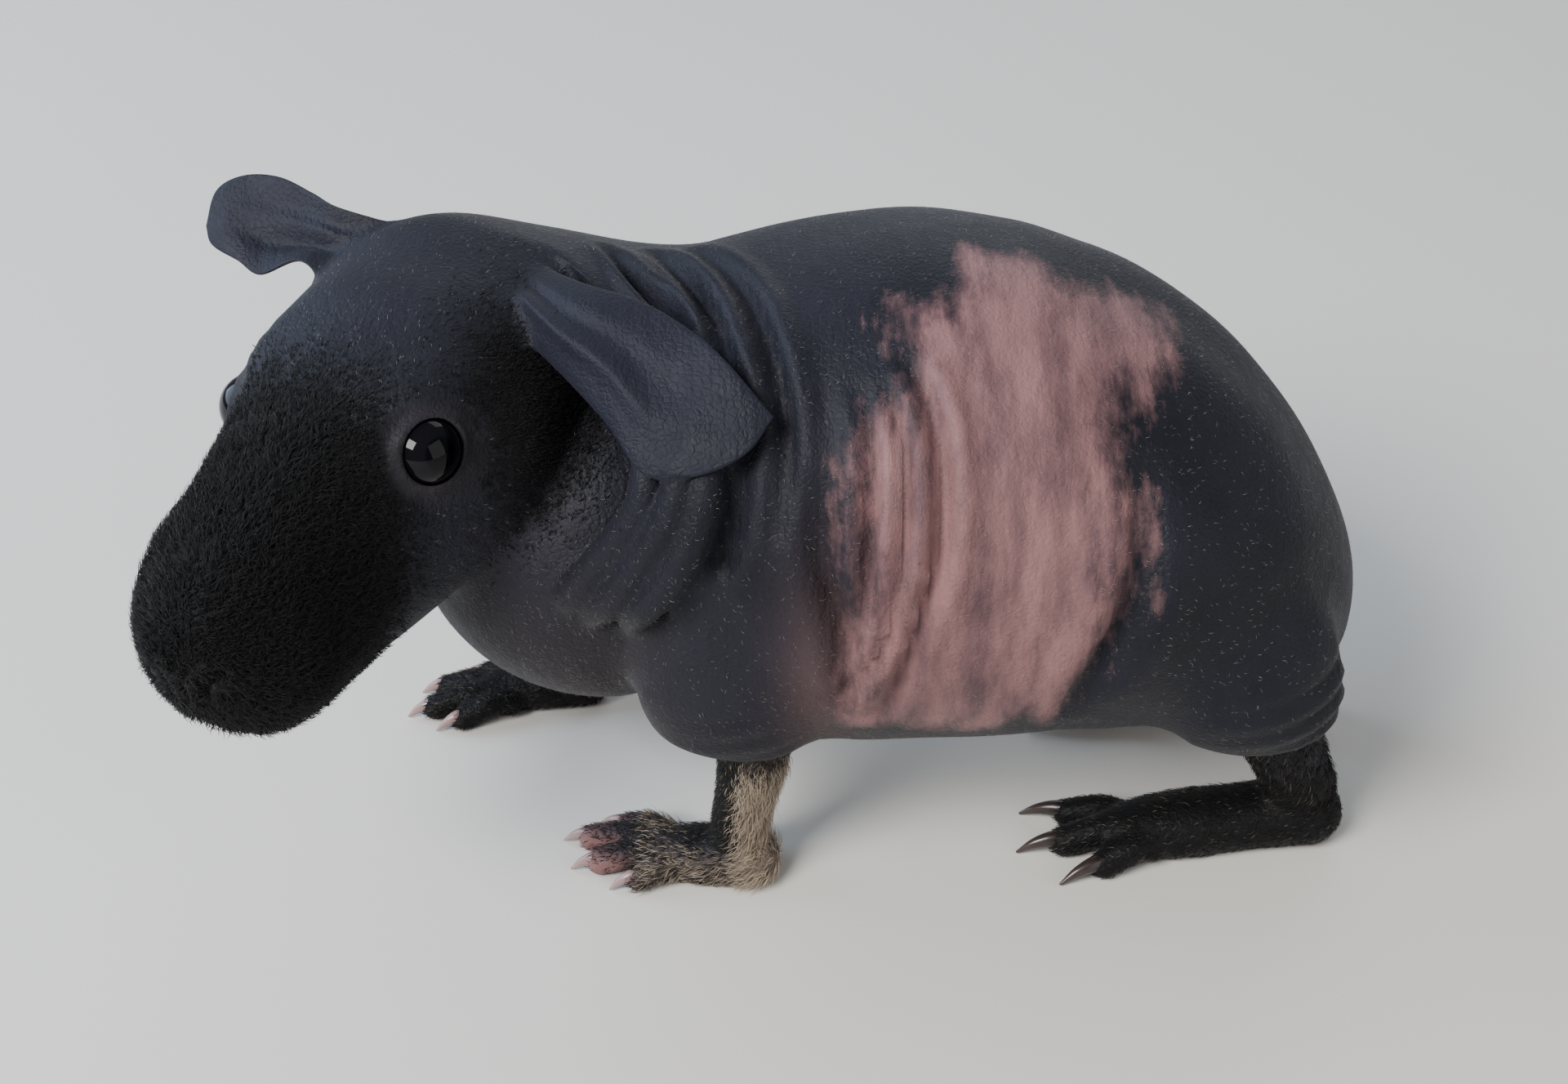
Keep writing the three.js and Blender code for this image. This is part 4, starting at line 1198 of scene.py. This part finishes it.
def claw_mesh(sizes, side, step):
    """The claws of one foot: a tapering tube for each toe, on the toe's own line over the floor."""
    length, radius = sizes["claw"]
    made, from_root = [], []
    for start, tip, _ in sizes["toes"]:
        a, b = placed([start, tip], side, step)
        onward = (b - a) * [1, 1, 0]
        onward /= np.linalg.norm(onward)
        reach = np.array([-CLAW_SINK, *(share * length for share in CLAW_REACH)])
        rise = np.array([*(tip[2] + arch for arch in CLAW_ARCH), CLAW_TIP_HEIGHT])
        path = b * [1, 1, 0] + reach[:, None] * onward + rise[:, None] * np.array([0, 0, 1.0])
        rings = tube_rings(path, radius * CLAW_TAPER, 26, 18, squash=1.12, floor=0.0, caps=4)
        points, triangles, ring_info = loft(rings, FOOT)
        made.append((points, triangles))
        from_root.append(ring_info[:, 1])
    offsets = np.cumsum([0] + [len(points) for points, _ in made[:-1]])
    faces = np.concatenate([triangles + offset for (_, triangles), offset in zip(made, offsets)])
    return np.concatenate([points for points, _ in made]), faces, np.concatenate(from_root)


def claw_finish(name, root, tip):
    """Horn: a colour that runs from root to tip, faint blotches and a waxy gloss."""
    material, tree, shader = new_finish(name, Roughness=0.28, Subsurface_Weight=0.1, Subsurface_Scale=0.0006)
    place = put(tree, "ShaderNodeTexCoord").outputs["Object"]
    blotch = noise(tree, place, 900, 3)
    colour = blend(tree, ramp(tree, mark(tree, "from_root"), 0.3, 1.0), root, tip)
    colour = blend(tree, times(tree, ramp(tree, blotch, 0.4, 0.7), 0.35), colour, tip)
    tree.links.new(colour, shader.inputs["Base Color"])
    bumped(tree, shader, blotch, 0.3, 0.0001)
    return material


# %% Claws of the four feet
CLAW_FINISHES = {
    "fore": claw_finish("fore_claw_finish", (0.20, 0.115, 0.115), (0.33, 0.235, 0.22)),
    "hind": claw_finish("hind_claw_finish", (0.010, 0.008, 0.008), (0.055, 0.036, 0.030)),
}
claws = {}
for name, sizes, side, step, *_ in LEGS:
    points, triangles, from_root = claw_mesh(sizes, side, step)
    claws[name] = put_mesh(f"claws_{name}", points, triangles)
    give(claws[name].data, {"from_root": from_root})
    claws[name].data.materials.append(CLAW_FINISHES[name[:4]])
print("claws", {name: len(piece.data.polygons) for name, piece in claws.items()})

# %% [markdown]
# ## Where the coat grows
# Tufts are strewn over the skin's triangles, more where they are large or where the coat is dense. Each has
# a place, the skin's direction there, and the coat's lie: back along the head and trunk, down the legs and
# out to the toes.

# %% Roots of the coat
skin_triangles = np.empty(3 * len(skin_mesh.polygons), np.int32)
skin_mesh.loops.foreach_get("vertex_index", skin_triangles)
skin_triangles = skin_triangles.reshape(-1, 3)
corner = flesh[skin_triangles]
facing = np.cross(corner[:, 1] - corner[:, 0], corner[:, 2] - corner[:, 0])
area = np.linalg.norm(facing, axis=1) / 2
point_normals = np.stack(
    [np.bincount(skin_triangles.ravel(), np.repeat(part, 3), len(flesh)) for part in facing.T], -1
)
point_normals /= np.maximum(np.linalg.norm(point_normals, axis=1, keepdims=True), 1e-12)


def strewn(count, density):
    """Random places on the skin, as many on each triangle as its area times its density asks."""
    weight = area * density[skin_triangles].mean(axis=1)
    chosen = rng.choice(len(area), count, p=weight / weight.sum())
    a, b = rng.random((2, count))
    over = a + b > 1
    a[over], b[over] = 1 - a[over], 1 - b[over]
    share = np.stack([1 - a - b, a, b], -1)[..., None]
    corners = skin_triangles[chosen]
    roots = (flesh[corners] * share).sum(1)
    normal = (point_normals[corners] * share).sum(1)
    normal /= np.linalg.norm(normal, axis=1, keepdims=True)
    return roots, normal, corners[:, 0]


# %% Lie of the coat
BACK_AND_DOWN = np.array([1.0, 0, -0.25])
OUT_TO_TOES, DOWN_THE_LEG = np.array([-1.0, 0, -0.1]), np.array([-0.1, 0, -1.0])


def coat_lie(roots, normal, of):
    """Back along the head or trunk, or down and out to the toes on a leg, laid flat onto the skin."""
    on_face = (above(head_view(roots)[:, 0], -34, 20) * below(roots[:, 0], -12, 12))[:, None]
    lie = (1 - on_face) * BACK_AND_DOWN - on_face * HEAD_AXES[0]
    leg = (kind[of] == FOOT)[:, None]
    up_leg = above(roots[:, 2], 5, 10)[:, None]
    lie = np.where(leg, (1 - up_leg) * OUT_TO_TOES + up_leg * DOWN_THE_LEG, lie)
    lie -= (lie * normal).sum(1, keepdims=True) * normal
    return lie / np.maximum(np.linalg.norm(lie, axis=1, keepdims=True), 1e-6)


# %% [markdown]
# ## One tuft, many times
# A tuft is a thin blade of three sides that curves up from the skin and over along the lie. Seven points
# and ten faces are enough. All tufts of a piece are worked out together as one array.

# %% Tufts
BLADE_POINTS = 7
BLADE_FACES = np.array([
    [0, 3, 4], [0, 4, 1], [1, 4, 5], [1, 5, 2], [2, 5, 3], [2, 3, 0],
    [3, 6, 4], [4, 6, 5], [5, 6, 3], [0, 1, 2],
])
ALONG_BLADE = [0, 0, 0, 0.5, 0.5, 0.5, 1]
PATCH_ACROSS = 0.003
BLADE_UV = PATCH_ACROSS * np.array([
    [-0.5, -0.5], [0.5, -0.5], [0, 0.5], [-0.3, -0.3], [0.3, -0.3], [0, 0.3], [0, 0],
])
UNWRAP_CELLS, CELLS_A_LEG = 32, 8
ROOT_SINK, BLADE_FLAT, BLADE_TAPER = 0.12, 0.6, 0.72
LENGTH_SPREAD, WIDTH_SPREAD = (0.65, 1.25), (0.7, 1.3)
LIFT_SPREAD, LEAST_LIFT, MOST_LIFT = 0.12, 0.05, 0.95
LEAST_HEIGHT = 0.02  # over the floor, in mm


def unwrap(of):
    """The skin's own unwrap: the body's length and turn below, and each limb form's in a strip above."""
    what, u, v = info[of, 0], info[of, 1], info[of, 2]
    is_body = (what == BODY)[:, None]
    cell = np.floor(u) * CELLS_A_LEG + np.floor(v)
    limb = np.stack([(cell + u % 1) / UNWRAP_CELLS, 0.52 + 0.46 * (v % 1)], -1)
    return np.where(is_body, np.stack([u, 0.5 * v], -1), limb) * 0.99 + 0.004


def coat(name, count, density, length, width, lift, swirl, finish):
    """A piece of coat: root, middle and tip of each blade from its length, lift off the skin and swirl."""
    roots, normal, of = strewn(count, density)
    lie = coat_lie(roots, normal, of)
    aside = np.cross(normal, lie)
    turn = swirl * (1.4 * slow_lumps(roots * 4.0) + rng.normal(0, 0.55, count))
    toward = lie * np.cos(turn)[:, None] + aside * np.sin(turn)[:, None]
    aside = np.cross(normal, toward)
    long = (length(roots, of) * rng.uniform(*LENGTH_SPREAD, count))[:, None]
    up = np.clip(rng.normal(lift, LIFT_SPREAD, count), LEAST_LIFT, MOST_LIFT)[:, None]
    bend = (rng.normal(0, 0.5, count) * swirl)[:, None]
    middle = roots + long * 0.5 * (toward * np.sqrt(1 - up**2) + normal * up)
    tip_way = toward * (1 - 0.5 * up) + normal * up * 0.25 + aside * bend
    tip = middle + long * 0.5 * tip_way / np.linalg.norm(tip_way, axis=1, keepdims=True)
    root = roots - normal * ROOT_SINK
    corners = np.arange(3) * 2 * np.pi / 3
    ring = aside[:, None] * np.cos(corners)[:, None] + normal[:, None] * np.sin(corners)[:, None] * BLADE_FLAT
    wide = width * rng.uniform(*WIDTH_SPREAD, (count, 1, 1))
    low_ring, high_ring = root[:, None] + ring * wide, middle[:, None] + ring * wide * BLADE_TAPER
    points = np.concatenate([low_ring, high_ring, tip[:, None]], 1)
    points[..., 2] = np.maximum(points[..., 2], LEAST_HEIGHT)
    faces = (np.arange(count)[:, None, None] * BLADE_POINTS + BLADE_FACES).reshape(-1, 3)
    piece = put_mesh(name, points.reshape(-1, 3), faces)
    layer = piece.data.uv_layers.new(name="OFBake")
    uv = (unwrap(of)[:, None] + BLADE_UV).reshape(-1, 2)[faces.ravel()]
    layer.data.foreach_set("uv", uv.astype(np.float32).ravel())
    here = markings(roots, kind[of])
    shade = rng.uniform(0, 1, count)
    numbers = {key: here[key] for key in ("patch", "black", "cream", "pink")} | {"shade": shade}
    give(piece.data, {key: np.repeat(values, BLADE_POINTS) for key, values in numbers.items()})
    give(piece.data, {"to_tip": np.tile(ALONG_BLADE, count)})
    piece.data.materials.append(finish)
    print(name, count, "tufts,", len(faces), "faces")
    return piece


# %% [markdown]
# ## The coat's finishes
# Black fur is a little paler at its tips. The near forearm's fur runs from black to cream, by the same
# numbers as the skin beneath it. The body's stubble is colourless, so it reads as pale flecks.

# %% Coat finishes


def fur_finish(name, root, tip, pale=None, roughness=0.5):
    """Fur from a root colour to a tip colour, each tuft a little different, with cream where marked."""
    material, tree, shader = new_finish(
        name, Roughness=roughness, Specular_IOR_Level=0.22, Sheen_Weight=0.03, Sheen_Roughness=0.4,
    )
    shade = mark(tree, "shade")
    colour = blend(tree, mark(tree, "to_tip"), root, tip)
    colour = blend(tree, times(tree, shade, 0.5), colour, root)
    if pale:
        pale_share = plus(tree, mark(tree, "cream"), swing(tree, shade, 0.9))
        colour = blend(tree, ramp(tree, pale_share, 0.35, 0.6), colour, pale)
    tree.links.new(colour, shader.inputs["Base Color"])
    return material


black_fur = fur_finish(
    "black_fur_finish", root=(0.0012, 0.0012, 0.0015), tip=(0.0045, 0.0042, 0.0052), roughness=0.7,
)
foot_fur = fur_finish(
    "foot_fur_finish", root=(0.0015, 0.0014, 0.0016), tip=(0.006, 0.0055, 0.006),
    pale=(0.36, 0.29, 0.215), roughness=0.65,
)
stubble = fur_finish("stubble_finish", root=(0.16, 0.15, 0.15), tip=(0.42, 0.40, 0.38))

# %% [markdown]
# ## Growing the coat
# The curly fuzz of the muzzle stands out most. The velvet between eye and ear is shorter, the feet's fur
# lies close, and the near forearm has longer locks.

# %% How dense each coat is
EYE_BARE, LIP_BARE = 6.8, 1.1  # how far from the eye's middle and from the mouth's line the skin is bare
SOLE_HEIGHT, FUR_TOP = 0.25, 30.0
head = head_view(flesh)
near_eye = np.hypot(head[:, 0] - EYE_AT[0], head[:, 2] - EYE_AT[2]) < EYE_BARE
near_eye &= np.abs(head[:, 1]) > 6
lip = nearest_on_path(flesh, mouth_path)[0] < LIP_BARE
face = (kind == BODY) | (kind == LID)
fuzz_density = face * ease(np.clip(marks["black"] * 1.15, 0, 1)) * (1 - near_eye) * (1 - lip)
feet = kind == FOOT
rear = flesh[:, 0] > REAR_FEET
furred = feet * (1 - (flesh[:, 2] < SOLE_HEIGHT)) * (flesh[:, 2] < FUR_TOP)
toe_ends = (marks["pink"] > 0.6) & (flesh[:, 2] < 3)
bare_share = np.clip(1 - marks["black"] * 1.3, 0, 1)
stubble_density = (kind != EAR) * ~feet * (1 - near_eye) * bare_share * (0.5 + marks["warm"])

# %% How long each coat is


def muzzle_length(_, of):
    """Fuzz is longer where the muzzle is black and further towards the nose."""
    return 0.9 + 1.0 * marks["black"][of] * above(head[of, 0], 2, 14)


def hind_length(roots, _):
    """Fur of the hind feet is longer up the shank than on the toes."""
    return 1.0 + 0.8 * above(roots[:, 2], 5, 6)


def fore_length(_, of):
    """Fur of the forefeet is longer where it is cream."""
    return 1.1 + 2.0 * marks["cream"][of]


def stubble_length(roots, _):
    """Stubble is as short everywhere."""
    return np.full(len(roots), 0.7)


# %% Coat pieces
FUZZ = {
    "count": 19000, "density": fuzz_density, "length": muzzle_length,
    "width": 0.085, "lift": 0.62, "swirl": 1.0, "finish": black_fur,
}
COATS = {
    "muzzle_fuzz_a": FUZZ,
    "muzzle_fuzz_b": FUZZ,
    "hind_foot_fur": {
        "count": 16000, "density": furred * rear, "length": hind_length,
        "width": 0.07, "lift": 0.3, "swirl": 0.45, "finish": foot_fur,
    },
    "fore_foot_fur": {
        "count": 18000, "density": furred * ~rear * (1 - 0.85 * toe_ends), "length": fore_length,
        "width": 0.06, "lift": 0.34, "swirl": 0.6, "finish": foot_fur,
    },
    "pale_stubble": {
        "count": 16000, "density": stubble_density, "length": stubble_length,
        "width": 0.022, "lift": 0.42, "swirl": 1.2, "finish": stubble,
    },
}
coats = {name: coat(name, **sizes) for name, sizes in COATS.items()}

# %% [markdown]
# ## What each piece stands for
# Every piece rides on the one body, since a still animal has no joints. Skin, eyes and claws take the
# places of the solids. The coat takes the place of none.

# %% Bodies and finishes
PAIRED_NODES = ["ear", "upper_arm", "thigh", "forearm", "shank", "forefoot", "hindfoot"]
FLESH_NODES = ["head", "neck", "torso"]
FLESH_NODES += [f"{node}_{side}" for side in ("left", "right") for node in PAIRED_NODES]
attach(skin, "root")
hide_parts(*FLESH_NODES)
for name, eye in eyes.items():
    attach(eye, "root")
    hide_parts(f"eye_{name}")
for name, piece in claws.items():
    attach(piece, "root")
    toe_count = 4 if name.startswith("fore") else 3
    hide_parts(*[f"{name}_claw_{number + 1}" for number in range(toe_count)])
for piece in coats.values():
    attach(piece, "root")

# %% [markdown]
# ## Floor, light and camera
# A plain pale floor, a soft light from above the head's near side, a bluish one from ahead, two weak ones
# from the rear and the far side to open the shadows, and a camera that looks down on the near side.

# %% Floor
FLOOR_REACH, FLOOR_DROP = 12.0, 0.0001  # in metres
floor_mesh = bpy.data.meshes.new("floor")
corners = [(FLOOR_REACH * x, FLOOR_REACH * y, -FLOOR_DROP) for x, y in ((-1, -1), (1, -1), (1, 1), (-1, 1))]
floor_mesh.from_pydata(corners, [], [(0, 1, 2, 3)])
floor = bpy.data.objects.new("floor", floor_mesh)
bpy.context.scene.collection.objects.link(floor)
floor_finish, tree, shader = new_finish("floor_finish", Roughness=0.8)
shader.inputs["Base Color"].default_value = (0.62, 0.60, 0.56, 1)
floor_mesh.materials.append(floor_finish)

# %% Light
TARGET = np.array([0.0, 0.0, 42.0]) + ORIGIN_SHIFT


def look(thing, at, towards):
    """Places a lamp or camera at a point in mm and turns it so that it looks at another."""
    at, towards = Vector(at * MM), Vector(towards * MM)
    thing.location = at
    thing.rotation_euler = (towards - at).to_track_quat("-Z", "Y").to_euler()


def soft_light(name, at, size, power, colour):
    """A square area light that faces the animal."""
    lamp = bpy.data.lights.new(name, "AREA")
    lamp.size, lamp.energy, lamp.color = size, power, colour
    thing = bpy.data.objects.new(name, lamp)
    bpy.context.scene.collection.objects.link(thing)
    look(thing, np.array(at, float), TARGET)


soft_light("key_light", (-520, -560, 700), 0.42, 17, (1.0, 0.985, 0.96))
soft_light("sky_light", (-700, 200, 420), 0.6, 7, (0.62, 0.77, 1.0))
soft_light("fill_light", (750, -560, 420), 0.9, 4, (1.0, 0.96, 0.92))
soft_light("back_light", (200, 800, 600), 0.7, 3, (0.9, 0.94, 1.0))

# %% Air of the studio
world = bpy.data.worlds.new("studio")
world.use_nodes = True
background = world.node_tree.nodes["Background"]
background.inputs["Color"].default_value = (0.80, 0.88, 1.0, 1)
background.inputs["Strength"].default_value = 0.3
bpy.context.scene.world = world

# %% Camera
CAMERA_DISTANCE = 293.0
CAMERA_RISE = np.radians(35.0)
CAMERA_LENS, CAMERA_SENSOR, CAMERA_NEAR = 49.44, 36.0, 0.01
camera_data = bpy.data.cameras.new("camera")
camera_data.sensor_width = CAMERA_SENSOR
camera_data.sensor_fit = "HORIZONTAL"
camera_data.lens = CAMERA_LENS
camera_data.clip_start = CAMERA_NEAR
camera = bpy.data.objects.new("camera", camera_data)
bpy.context.scene.collection.objects.link(camera)
backward = np.array([0.0, -np.cos(CAMERA_RISE), np.sin(CAMERA_RISE)])
look(camera, TARGET + CAMERA_DISTANCE * backward, TARGET)
bpy.context.scene.camera = camera
